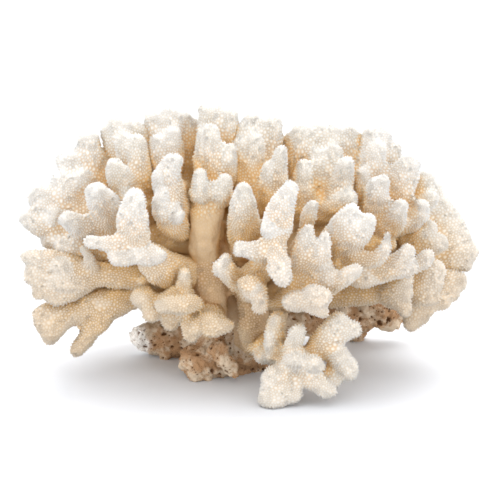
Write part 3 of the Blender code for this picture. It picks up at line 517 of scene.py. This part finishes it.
def applyModifiers(piece):
    graph = bpy.context.evaluated_depsgraph_get()
    data = bpy.data.meshes.new_from_object(piece.evaluated_get(graph))
    piece.modifiers.clear()
    old, piece.data = piece.data, data
    bpy.data.meshes.remove(old)


def smoothstep(low, high, value):
    share = np.clip((value - low) / (high - low), 0, 1)
    return share * share * (3 - 2 * share)


def readVectors(items, name):
    values = np.empty(len(items) * 3, np.float32)
    items.foreach_get(name, values)
    return values.reshape(-1, 3)


# Each point's place and its normal
def readSkin(piece):
    return readVectors(piece.data.vertices, "co"), readVectors(piece.data.vertex_normals, "vector")


def writePlaces(piece, places):
    piece.data.vertices.foreach_set("co", np.asarray(places, np.float32).ravel())


def writeAttribute(piece, name, values):
    layer = piece.data.attributes.new(name, "FLOAT", "POINT")
    layer.data.foreach_set("value", np.ascontiguousarray(values, np.float32))


# The mean over each point's neighbours, a few times over
def evenOut(data, values, rounds):
    ends = np.empty(len(data.edges) * 2, np.int32)
    data.edges.foreach_get("vertices", ends)
    first, second = ends[::2], ends[1::2]
    count = np.bincount(ends, minlength=len(values))
    for _ in range(rounds):
        total = (np.bincount(first, values[second], len(values))
                 + np.bincount(second, values[first], len(values)))
        values = (values + total / np.maximum(count, 1)) / 2
    return values


growthNoise = bpy.data.textures.new("growthNoise", "CLOUDS")
growthNoise.noise_scale = growth["wobbleSize"]
growthNoise.noise_depth = 1

# Small lobes at a finger's end, in shares of its length or of its width there
fingerEnd = {
    "lobes": 3, "sides": 8, "rings": 8,
    "widest": 0.020, "lowest": 0.016,         # the widest finger that has them, and the lowest, in metres
    "neckAt": 0.70, "fanAt": 0.93,            # where a lobe's run starts, and where the lobes part
    "bendAt": 0.6, "turn": 0.4,
    "aside": 0.33, "ahead": (-0.10, 0.20),
    "size": 0.52, "sizes": (0.8, 1.15),
}


def hasLobes(tip):
    return tip[3] < fingerEnd["widest"] and tip[2] > fingerEnd["lowest"]


# Short runs that fan out from a finger's end
def lobesOf(run, rng):
    neck, end = (Vector(along(run, fingerEnd[name])[:3]) for name in ("neckAt", "fanAt"))
    width = run[-1][3]
    ahead = (end - neck).normalized()
    side = ahead.orthogonal().normalized()
    start, lobes = rng.uniform(0, 2 * math.pi), []
    for index in range(fingerEnd["lobes"]):
        turn = start + 2 * math.pi * index / fingerEnd["lobes"]
        turn += rng.uniform(-fingerEnd["turn"], fingerEnd["turn"])
        aside = side * math.cos(turn) + ahead.cross(side) * math.sin(turn)
        tip = end + aside * width * fingerEnd["aside"] + ahead * width * rng.uniform(*fingerEnd["ahead"])
        size = width * fingerEnd["size"] * rng.uniform(*fingerEnd["sizes"])
        lobes.append([[*neck, size], [*neck.lerp(tip, fingerEnd["bendAt"]), size], [*tip, size]])
    return lobes


# One closed skin over a limb's runs, thinned until its points stand a bead apart
def limbSkin(limb, rng):
    web = limb.get("web", growth["web"])
    bm = bmesh.new()
    for index, run in enumerate(limb["runs"]):
        drawOut(bm, run, growth["sides"], growth["rings"])
        if index and index not in limb.get("rockRuns", ()) and hasLobes(run[-1]):
            for lobe in lobesOf(run, rng):
                drawOut(bm, lobe, fingerEnd["sides"], fingerEnd["rings"])
    piece = newPiece(limb["node"] + "_grown", bm)
    for stage, reach in (("weld", web), ("web", -web)):
        weld = piece.modifiers.new(stage, "REMESH")
        weld.mode, weld.voxel_size = "VOXEL", growth["fineSkin"]
        soften = piece.modifiers.new("soften", "SMOOTH")
        soften.iterations = growth["fineRounds"]
        swell = piece.modifiers.new("swell", "DISPLACE")
        swell.strength, swell.mid_level = reach, 0
    wobble = piece.modifiers.new("wobble", "DISPLACE")
    wobble.texture, wobble.strength, wobble.mid_level = growthNoise, growth["wobble"], 0.5
    applyModifiers(piece)
    bm = bmesh.new()
    bm.from_mesh(piece.data)
    keepLargest(bm)
    bmesh.ops.triangulate(bm, faces=bm.faces)
    area = sum(face.calc_area() for face in bm.faces)
    tree = BVHTree.FromBMesh(bm)
    bm.to_mesh(piece.data)
    bm.free()
    places, normals = readSkin(piece)
    shake = rng.uniform(-growth["shake"], growth["shake"], len(places))
    writePlaces(piece, places + normals * shake[:, None])
    points = area / (growth["beadPitch"] ** 2 * math.sqrt(3) / 2)
    thin = piece.modifiers.new("thin", "DECIMATE")
    thin.ratio = min(1, 2 * points / len(piece.data.polygons))
    applyModifiers(piece)
    places = readVectors(piece.data.vertices, "co")
    for _ in range(growth["relaxRounds"]):
        places = np.stack([evenOut(piece.data, places[:, axis], 1) for axis in range(3)], 1)
    writePlaces(piece, [tree.find_nearest(Vector(place))[0] for place in places])
    return piece


# Drops bubbles and chips that the grid left loose
def keepLargest(bm):
    unseen, islands = set(bm.verts), []
    while unseen:
        island = {unseen.pop()}
        fresh = list(island)
        while fresh:
            for edge in fresh.pop().link_edges:
                for vert in edge.verts:
                    if vert in unseen:
                        unseen.discard(vert)
                        island.add(vert)
                        fresh.append(vert)
        islands.append(island)
    islands.sort(key=len)
    loose = [vert for island in islands[:-1] for vert in island]
    if loose:
        bmesh.ops.delete(bm, geom=loose, context="VERTS")


# Beads: each point of the skin is raised, and the new points between sink
beads = {
    "rise": 0.00098, "sizes": (0.75, 1.25), "sink": 0.00042, "grain": 0.00016,
    "smoothBelow": 0.30, "beadedAbove": 0.52, # share of the way out where stalks are smooth, and beads full
    "onStalks": 0.35,                         # the beads' share of their height where stalks are smooth
    "stalkTone": 0.6,                         # a smooth stalk's place between valley and bead
    "nearTip": (0.014, 0.028),                # full this near a tip, and from this far as on the stalk
    "tipReach": 0.030,                        # how far down a finger its white tip fades
    "inside": (0.45, 0.95),                   # share of the way out where the painted inner shade is full (tan), and where it is gone (pale)
    "low": (0.020, 0.120), "lowWarmth": 0.40, # heights between which the coral goes from darker and warmer to plain; lowWarmth adds the low part to the painted inner shade
    "outlineMiddle": (0.006, 0.004, 0.058), "outlineReach": (0.132, 0.090, 0.104),
    "ribRise": 0.0011, "ribs": (0.25, 0.6),   # share of the way out where ribs start, and are full
    "ribsFrom": (0, 0, 0.040), "ribsAround": 15, "ribsAlong": 9,
    "samples": 16, "atOnce": 4096,            # places along a run, and points measured at once
    "stemToTip": 0.020,                       # how much further from a tip a limb's stem counts
}

# Looks out from a point, which tell how open it lies
outlook = {"looks": 9, "reach": 0.045, "from": 0.0012, "rounds": 3}


# For each place the nearest run, and how far it is from there along the run to its tip
def nearestRun(places, runs):
    samples, togo, owner = [], [], []
    for index, run in enumerate(runs):
        points = np.array([along(run, share)[:3] for share in np.linspace(0, 1, beads["samples"])])
        steps = np.linalg.norm(np.diff(points, axis=0), axis=1)
        samples.append(points)
        togo.append(np.append(np.cumsum(steps[::-1])[::-1], 0) + (beads["stemToTip"] if index == 0 else 0))
        owner.append(np.full(len(points), index))
    samples, togo, owner = (np.concatenate(lists) for lists in (samples, togo, owner))
    samples = samples.astype(np.float32)
    nearest = np.empty(len(places), int)
    for first in range(0, len(places), beads["atOnce"]):
        part = slice(first, first + beads["atOnce"])
        nearest[part] = ((places[part][:, None, :] - samples[None]) ** 2).sum(2).argmin(1)
    return owner[nearest], togo[nearest]


# How far out a place lies on the way to the colony's outline
def outward(places):
    way = (places - np.array(beads["outlineMiddle"])) / np.array(beads["outlineReach"])
    return np.linalg.norm(way, axis=1)


# The share of looks out from each point that pass all the limbs
def openness(piece, tree, rng):
    places, normals = readSkin(piece)
    looks = outlook["looks"]
    lift = np.sqrt((np.arange(looks) + 0.5) / looks)     # cosine of the angle from the normal
    turn = np.arange(looks) * goldenTurn
    fan = np.stack([np.sqrt(1 - lift ** 2) * np.cos(turn), np.sqrt(1 - lift ** 2) * np.sin(turn), lift], 1)
    upright = np.abs(normals[:, 2:3]) > 0.9
    side = np.cross(np.where(upright, np.array([[1.0, 0, 0]]), np.array([[0, 0, 1.0]])), normals)
    side /= np.linalg.norm(side, axis=1)[:, None]
    front = np.cross(normals, side)
    spin = rng.uniform(0, 2 * math.pi, len(places))[:, None]
    side, front = side * np.cos(spin) + front * np.sin(spin), front * np.cos(spin) - side * np.sin(spin)
    seen = np.zeros(len(places))
    starts = [Vector(place) for place in places + normals * outlook["from"]]
    for across, ahead, out in fan:
        ways = side * across + front * ahead + normals * out
        seen += [tree.ray_cast(start, Vector(way), outlook["reach"])[0] is None
                 for start, way in zip(starts, ways)]
    return evenOut(piece.data, seen / looks, outlook["rounds"])


# Ribs spread from the middle of the base as the fans do
def ribs(places):
    way = places - np.array(beads["ribsFrom"])
    far = np.linalg.norm(way, axis=1)
    way = way / far[:, None] * beads["ribsAround"]
    return np.array([noise.noise(Vector((x, y, z + reach * beads["ribsAlong"])))
                     for (x, y, z), reach in zip(way, far)])


# Old dead rock: lumps, and pores where single points have sunk; the pores and pits are marked for painted
# shade
rock = {
    "edge": (0.3, 0.7), "edgeRounds": 8,      # how softly it passes into live stalks
    "lump": 0.0020, "lumpsPerMetre": 130, "lumpDetail": (0.8, 2.1, 4), "grit": 0.00045,
    "poreShare": 0.13, "poreDepth": 0.0012,
    "pitShare": 0.006, "pitRounds": 3, "pitDepth": 0.020, "pitShade": 8,
}


def roughenRock(piece, places, isTop, rng):
    lumps = np.array([noise.fractal(Vector(place) * rock["lumpsPerMetre"], *rock["lumpDetail"])
                      for place in places])
    pore = isTop * (rng.random(len(places)) < rock["poreShare"])
    pit = evenOut(piece.data, (rng.random(len(places)) < rock["pitShare"]).astype(float), rock["pitRounds"])
    lift = lumps * rock["lump"] + rng.uniform(-1, 1, len(places)) * rock["grit"]
    lift = lift - pore * rock["poreDepth"] - pit * rock["pitDepth"]
    return lift, np.clip(pore + pit * rock["pitShade"], 0, 1)


# Raises the beads, and leaves on the mesh what the materials read
def raiseBeads(piece, limb, tree, seed):
    rng = np.random.default_rng(seed)
    # How open each point lies; the material paints shade where it is shut in
    writeAttribute(piece, "open", openness(piece, tree, rng))
    tops = len(piece.data.vertices)
    bm = bmesh.new()
    bm.from_mesh(piece.data)
    bmesh.ops.subdivide_edges(bm, edges=bm.edges, cuts=1, use_grid_fill=True)
    bm.to_mesh(piece.data)
    bm.free()
    places, normals = readSkin(piece)
    isTop = np.arange(len(places)) < tops
    owner, togo = nearestRun(places, limb["runs"])
    out = outward(places)
    smoothBelow, beadedAbove = (limb.get(name, beads[name]) for name in ("smoothBelow", "beadedAbove"))
    beaded = np.maximum(smoothstep(smoothBelow, beadedAbove, out), 1 - smoothstep(*beads["nearTip"], togo))
    strength = beads["onStalks"] + (1 - beads["onStalks"]) * beaded
    rocky = np.zeros(len(places))
    if "rockRuns" in limb:
        rocky = evenOut(piece.data, np.isin(owner, limb["rockRuns"]).astype(float), rock["edgeRounds"])
        rocky = smoothstep(*rock["edge"], rocky)
    strength = strength * (1 - rocky)
    size = rng.uniform(*beads["sizes"], len(places))
    lift = np.where(isTop, beads["rise"] * size, -beads["sink"]) * strength
    if "rockRuns" in limb:
        rough, pore = roughenRock(piece, places, isTop, rng)
        lift = lift + rough * rocky
        writeAttribute(piece, "pore", pore)
    lift = lift + rng.uniform(-1, 1, len(places)) * beads["grain"]
    lift = lift + ribs(places) * beads["ribRise"] * (1 - rocky) * smoothstep(*beads["ribs"], out)
    places = places + normals * lift[:, None]
    writePlaces(piece, places)
    low = (1 - smoothstep(*beads["low"], places[:, 2])) * limb.get("lowTint", 1)
    # Painted shade: the deeper inside the colony's outline, the lower down and the larger a limb's warmth,
    # the more the coral takes the colours of shade
    inside = 1 - smoothstep(*beads["inside"], out) + low * beads["lowWarmth"] + limb.get("warmth", 0)
    masks = {
        "rock": rocky,
        "beaded": beaded,
        "low": low,
        "bead": isTop * strength + beads["stalkTone"] * (1 - strength),
        "tip": np.clip(1 - togo / beads["tipReach"], 0, 1),
        "inside": np.clip(inside, 0, 1),
    }
    for name, values in masks.items():
        writeAttribute(piece, name, values)


# Cuts the piece off flat on the ground, and closes the cut
def cutFlat(piece):
    bm = bmesh.new()
    bm.from_mesh(piece.data)
    if min(vert.co.z for vert in bm.verts) < 0:
        bmesh.ops.bisect_plane(bm, geom=bm.verts[:] + bm.edges[:] + bm.faces[:], dist=tiny,
                               plane_co=(0, 0, 0), plane_no=(0, 0, 1), clear_inner=True)
        rim = [edge for edge in bm.edges if edge.is_boundary]
        bmesh.ops.holes_fill(bm, edges=rim, sides=0)
        bmesh.ops.triangulate(bm, faces=[face for face in bm.faces if len(face.verts) > 3])
        bm.to_mesh(piece.data)
    bm.free()


# Shader maths
class Wire:
    def __init__(self, tree, socket):
        self.tree, self.socket = tree, socket

    def maths(self, work, other):
        return addNode(self.tree, "ShaderNodeMath", {"operation": work}, {0: self, 1: other})

    def __add__(self, other):
        return self.maths("ADD", other)

    def __sub__(self, other):
        return self.maths("SUBTRACT", other)

    def __mul__(self, other):
        return self.maths("MULTIPLY", other)

    def __neg__(self):
        return self.maths("MULTIPLY", -1)

    def __rsub__(self, other):
        return -self + other

    __radd__ = __add__
    __rmul__ = __mul__

    def orLarger(self, other):
        return self.maths("MAXIMUM", other)

    def between(self, low, high):
        return addNode(self.tree, "ShaderNodeMapRange", {"interpolation_type": "SMOOTHSTEP"},
                       {"Value": self, "From Min": low, "From Max": high})


def feed(tree, socket, value):
    if isinstance(value, Wire):
        tree.links.new(value.socket, socket)
    else:
        socket.default_value = value


def addNode(tree, kind, settings=None, sockets=None, out=0):
    node = tree.nodes.new(kind)
    for name, value in (settings or {}).items():
        setattr(node, name, value)
    for name, value in (sockets or {}).items():
        feed(tree, node.inputs[name], value)
    return Wire(tree, node.outputs[out])


# The Mix node has sockets of the same name for each type: 6 and 7 are its colours, and 2 is the colour out
def blend(tree, share, first, second):
    first, second = (value if isinstance(value, Wire) else (*value, 1) for value in (first, second))
    return addNode(tree, "ShaderNodeMix", {"data_type": "RGBA"}, {0: share, 6: first, 7: second}, out=2)


def noiseOver(tree, places, facts):
    return addNode(tree, "ShaderNodeTexNoise", None, {"Vector": places, **facts})


def attributeOf(tree, name):
    return addNode(tree, "ShaderNodeAttribute", {"attribute_name": name}, out=2)


def newMaterial(name, roughness, gloss=0.25):
    material = bpy.data.materials.new(name)
    material.use_nodes = True
    shader = material.node_tree.nodes["Principled BSDF"]
    shader.inputs["Roughness"].default_value = roughness
    shader.inputs["Specular IOR Level"].default_value = gloss
    return material, shader


# Coral: white tips and cream flesh; painted shade in the lines between the beads; where shut in, warm
# painted bounce light and dark painted shade in the hollows; smooth stalks; darker brown low down
coralLooks = {
    "coral_white": {"tip": (0.80, 0.79, 0.765), "flesh": (0.88, 0.815, 0.71), "shadeBounce": (0.97, 0.81, 0.56),
                    "rim": (0.66, 0.58, 0.47), "tan": (0.68, 0.52, 0.35), "valley": (0.90, 0.60, 0.27),
                    "stalk": (0.60, 0.45, 0.27), "deep": (0.72, 0.46, 0.20), "old": (0.66, 0.54, 0.40),
                    "lowLine": (0.56, 0.365, 0.165)},
    "coral_cream": {"tip": (0.79, 0.775, 0.74), "flesh": (0.86, 0.785, 0.66), "shadeBounce": (0.96, 0.79, 0.53),
                    "rim": (0.64, 0.56, 0.44), "tan": (0.66, 0.50, 0.33), "valley": (0.88, 0.58, 0.25),
                    "stalk": (0.59, 0.43, 0.26), "deep": (0.70, 0.44, 0.19), "old": (0.64, 0.52, 0.38),
                    "lowLine": (0.55, 0.355, 0.16)},
    "coral_tan": {"tip": (0.76, 0.63, 0.46), "flesh": (0.74, 0.59, 0.41), "shadeBounce": (0.78, 0.60, 0.40),
                  "rim": (0.66, 0.51, 0.34), "tan": (0.60, 0.44, 0.28), "valley": (0.66, 0.42, 0.21),
                  "stalk": (0.66, 0.48, 0.29), "deep": (0.52, 0.28, 0.11), "old": (0.62, 0.48, 0.32),
                  "lowLine": (0.48, 0.32, 0.17)},
    "dead_base": {"tip": (0.70, 0.58, 0.44), "flesh": (0.66, 0.53, 0.39), "shadeBounce": (0.60, 0.45, 0.30),
                  "rim": (0.55, 0.42, 0.29), "tan": (0.50, 0.36, 0.22), "valley": (0.50, 0.33, 0.18),
                  "stalk": (0.58, 0.42, 0.27), "deep": (0.30, 0.15, 0.06), "old": (0.50, 0.36, 0.24),
                  "lowLine": (0.40, 0.26, 0.14)},
}

# How those colours lie over each other: what counts towards one, and the span in which it comes in
shades = {
    "roughness": 0.82,
    "patches": {"Scale": 38, "Detail": 3}, "specks": {"Scale": 420, "Detail": 2},
    "grain": {"Scale": 1500, "Detail": 2}, "grainStrength": 0.35, "grainHeight": 0.0003,
    "patchShift": 0.24,                       # how unevenly a place counts as shut in
    # white of the tips and of open places: the tips' own colour, with painted light where open and painted
    # shade inside
    "white": {"tip": 0.8, "open": 0.5, "patches": 0.2, "inside": 0.6, "less": 0.15, "span": (0.1, 0.8)},
    "old": {"least": 0.20, "open": 0.45, "patches": 0.30},
    # line: how strongly painted shade shows in the grooves between the beads, less at the tips and more
    # where shut in
    "line": {"most": 0.75, "tip": 0.25, "shut": 0.4, "least": 0.85, "specks": 0.3, "span": (0.15, 0.85)},
    # Where shut in: a painted warm bounce light, painted shade in the lines between the beads, and the
    # darkest painted shade in the hollows
    "shadeBounce": (0.25, (0.45, 1.0)), "valley": (0.30, (0.40, 0.90)), "deep": (0.20, (0.80, 1.15)),
    "tan": (0.15, 0.75), "lowLine": 0.8, "stalk": 0.75,
    "rock": (0.25, 0.75),
}

rockLooks = {
    "slots": ("coral_tan", "dead_base"),
    "chalk": (0.92, 0.88, 0.82), "stone": (0.63, 0.51, 0.375), "rust": (0.42, 0.245, 0.125),
    # pore: painted shade, dark in the sunk pores and in the cell pits
    "pore": (0.16, 0.075, 0.03), "poreSpan": (0.15, 0.75),
    "stains": {"Scale": 70, "Detail": 5, "Roughness": 0.65}, "rusty": (0.42, 0.57),
    "grit": {"Scale": 520, "Detail": 4, "Roughness": 0.7}, "gritty": (0.52, 0.68), "gritShare": 0.5,
    "bleached": "coral_tan", "chalkSpan": (0.052, 0.058), "chalkWave": 0.02,   # how far left, and how uneven
    "cells": 1000, "pits": (0.10, 0.42), "pitGrit": (0.35, 0.60), "pitsInStone": 0.25,
}


def coralMaterial(slot):
    look, white, old, line = coralLooks[slot], shades["white"], shades["old"], shades["line"]
    material, shader = newMaterial(slot, shades["roughness"])
    tree = material.node_tree
    places = addNode(tree, "ShaderNodeTexCoord", out=3)
    bead, tip, inside, opened, beaded, low = (attributeOf(tree, name) for name in
                                              ("bead", "tip", "inside", "open", "beaded", "low"))
    patches, specks, grain = (noiseOver(tree, places, shades[name])
                              for name in ("patches", "specks", "grain"))
    # Painted shade: how shut in a place lies, from the looks that the limbs block, made uneven by patches
    shut = 1 - opened + patches * shades["patchShift"] - shades["patchShift"] / 2

    def shutIn(shade):
        inward, span = shades[shade]
        return (shut + inside * inward).between(*span)

    # Painted light and shade with the coral's own colour: white at the tips and where open, cream where shut
    # in or inside
    tipAndOpenShare = tip * white["tip"] + opened * white["open"] + patches * white["patches"]
    tipAndOpenShare = (tipAndOpenShare - inside * white["inside"] - white["less"]).between(*white["span"])
    colour = blend(tree, tipAndOpenShare, look["flesh"], look["tip"])
    # Painted light: a warm, bright bounce where the coral is shut in
    colour = blend(tree, shutIn("shadeBounce"), colour, look["shadeBounce"])
    # Darker and browner low down, most where open
    lowDarkening = low * (old["least"] + opened * old["open"] + patches * old["patches"])
    colour = blend(tree, lowDarkening, colour, look["old"])
    # Painted shade in the grooves between the beads: pale at the tips, tan further down, orange where shut
    # in, darker low down
    valley = blend(tree, (1 - tip).between(*shades["tan"]), look["rim"], look["tan"])
    valley = blend(tree, shutIn("valley"), valley, look["valley"])
    valley = blend(tree, low * shades["lowLine"], valley, look["lowLine"])
    hollow = (1 - bead) * (line["most"] - tip * line["tip"] + shut * line["shut"])
    hollow = (hollow * (line["least"] + specks * line["specks"])).between(*line["span"])
    colour = blend(tree, hollow, colour, valley)
    colour = blend(tree, (1 - beaded) * shades["stalk"], colour, look["stalk"])
    # Painted shade: the darkest colour in the most shut-in hollows
    colour = blend(tree, shutIn("deep"), colour, look["deep"])
    if slot in rockLooks["slots"]:
        rocky = attributeOf(tree, "rock").between(*shades["rock"])
        colour = blend(tree, rocky, colour, rockColour(tree, places, slot))
    feed(tree, shader.inputs["Base Color"], colour)
    bump = {"Height": grain, "Strength": shades["grainStrength"], "Distance": shades["grainHeight"]}
    feed(tree, shader.inputs["Normal"], addNode(tree, "ShaderNodeBump", None, bump))
    return material


def rockColour(tree, places, slot):
    look = rockLooks
    stains, grit = (noiseOver(tree, places, look[name]) for name in ("stains", "grit"))
    cells = addNode(tree, "ShaderNodeTexVoronoi", None, {"Vector": places, "Scale": look["cells"]})
    rusty = stains.between(*look["rusty"])
    colour = blend(tree, rusty, look["stone"], look["rust"])
    if slot == look["bleached"]:
        left = -addNode(tree, "ShaderNodeSeparateXYZ", None, {"Vector": places})
        left = left + stains * look["chalkWave"] - look["chalkWave"] / 2
        colour = blend(tree, left.between(*look["chalkSpan"]), colour, look["chalk"])
    pits = (1 - cells.between(*look["pits"])) * (rusty * (1 - look["pitsInStone"]) + look["pitsInStone"])
    pits = pits * grit.between(*look["pitGrit"])
    colour = blend(tree, grit.between(*look["gritty"]) * look["gritShare"], colour, look["rust"])
    # Painted shade: the sunk pores and the cell pits go dark
    sunk = attributeOf(tree, "pore").between(*look["poreSpan"])
    return blend(tree, sunk.orLarger(pits), colour, look["pore"])


coralMaterials = {slot: coralMaterial(slot) for slot in coralLooks}
print("materials ready")


def finishPiece(piece, slot, node):
    cutFlat(piece)
    piece.data.polygons.foreach_set("use_smooth", np.ones(len(piece.data.polygons), bool))
    piece.data.update()
    piece.data.materials.clear()
    piece.data.materials.append(coralMaterials[slot])
    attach(piece, "root")
    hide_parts(node)


def growAll(limbs):
    rng = np.random.default_rng(growth["seed"])
    pieces = [limbSkin(limb, rng) for limb in limbs]
    print("skins grown")
    places, faces = [], []
    for piece in pieces:
        first = len(places)
        places += [vert.co.copy() for vert in piece.data.vertices]
        faces += [[first + index for index in face.vertices] for face in piece.data.polygons]
    tree = BVHTree.FromPolygons(places, faces)
    total = 0
    for seed, (limb, piece) in enumerate(zip(limbs, pieces)):
        raiseBeads(piece, limb, tree, seed)
        finishPiece(piece, limb["slot"], limb["node"])
        triangles = sum(len(face.vertices) - 2 for face in piece.data.polygons)
        print(piece.name, triangles, "triangles")
        total += triangles
    print("all limbs:", total, "triangles")


limbs = [trunk, deadBranch, footRight, footLeft, leftLow, leftMiddle, leftFront, leftHigh,
         crownLeft, crownLeftMiddle, crownMiddle, crownRightMiddle, crownRight,
         rightHigh, rightRim, rightFront, rightLow, frontMiddle, frontRight]
for limb in limbs:
    limb["runs"] = [readRun(run) for run in limb["runs"]]
limbs += [{"node": name, "slot": back["slot"], "runs": backRuns(name)} for name in back["limbs"]]
growAll(limbs)

# Floor and light
studio = {
    "floorSize": 12.0, "floorColour": (0.66, 0.675, 0.70), "floorRoughness": 0.9,
    "sky": (0.99, 0.99, 1.0), "skyStrength": 1.95,
    "sun": {"from": (0.05, 0.50, 0.90), "angle": 50, "strength": 1.20, "colour": (1.0, 0.99, 0.97)},
}


def makeFloor():
    bm = bmesh.new()
    bmesh.ops.create_grid(bm, x_segments=1, y_segments=1, size=studio["floorSize"] / 2)
    floor = newPiece("floor", bm)
    material, shader = newMaterial("paleFloor", studio["floorRoughness"])
    shader.inputs["Base Color"].default_value = (*studio["floorColour"], 1)
    floor.data.materials.append(material)


def makeSun():
    facts = studio["sun"]
    light = bpy.data.lights.new("sun", "SUN")
    light.angle = math.radians(facts["angle"])
    light.energy, light.color = facts["strength"], facts["colour"]
    lamp = bpy.data.objects.new("sun", light)
    lamp.rotation_euler = (-Vector(facts["from"])).to_track_quat("-Z", "Y").to_euler()
    bpy.context.scene.collection.objects.link(lamp)


def makeSky():
    world = bpy.data.worlds.new("studio")
    bpy.context.scene.world = world
    world.use_nodes = True
    sky = world.node_tree.nodes["Background"]
    sky.inputs["Color"].default_value = (*studio["sky"], 1)
    sky.inputs["Strength"].default_value = studio["skyStrength"]


def makeCamera():
    tilt = math.radians(shot["elevation"])
    away = Vector((0, -math.cos(tilt), math.sin(tilt)))
    camera = bpy.data.objects.new("camera", bpy.data.cameras.new("camera"))
    camera.location = Vector(shot["lookAt"]) + away * shot["distance"]
    camera.rotation_euler = (-away).to_track_quat("-Z", "Y").to_euler()
    camera.data.lens = shot["sensor"] * shot["distance"] / shot["widthSeen"]
    bpy.context.scene.collection.objects.link(camera)
    bpy.context.scene.camera = camera


makeFloor()
makeSun()
makeSky()
makeCamera()
bpy.context.scene.view_settings.view_transform = "Standard"
print("studio ready")
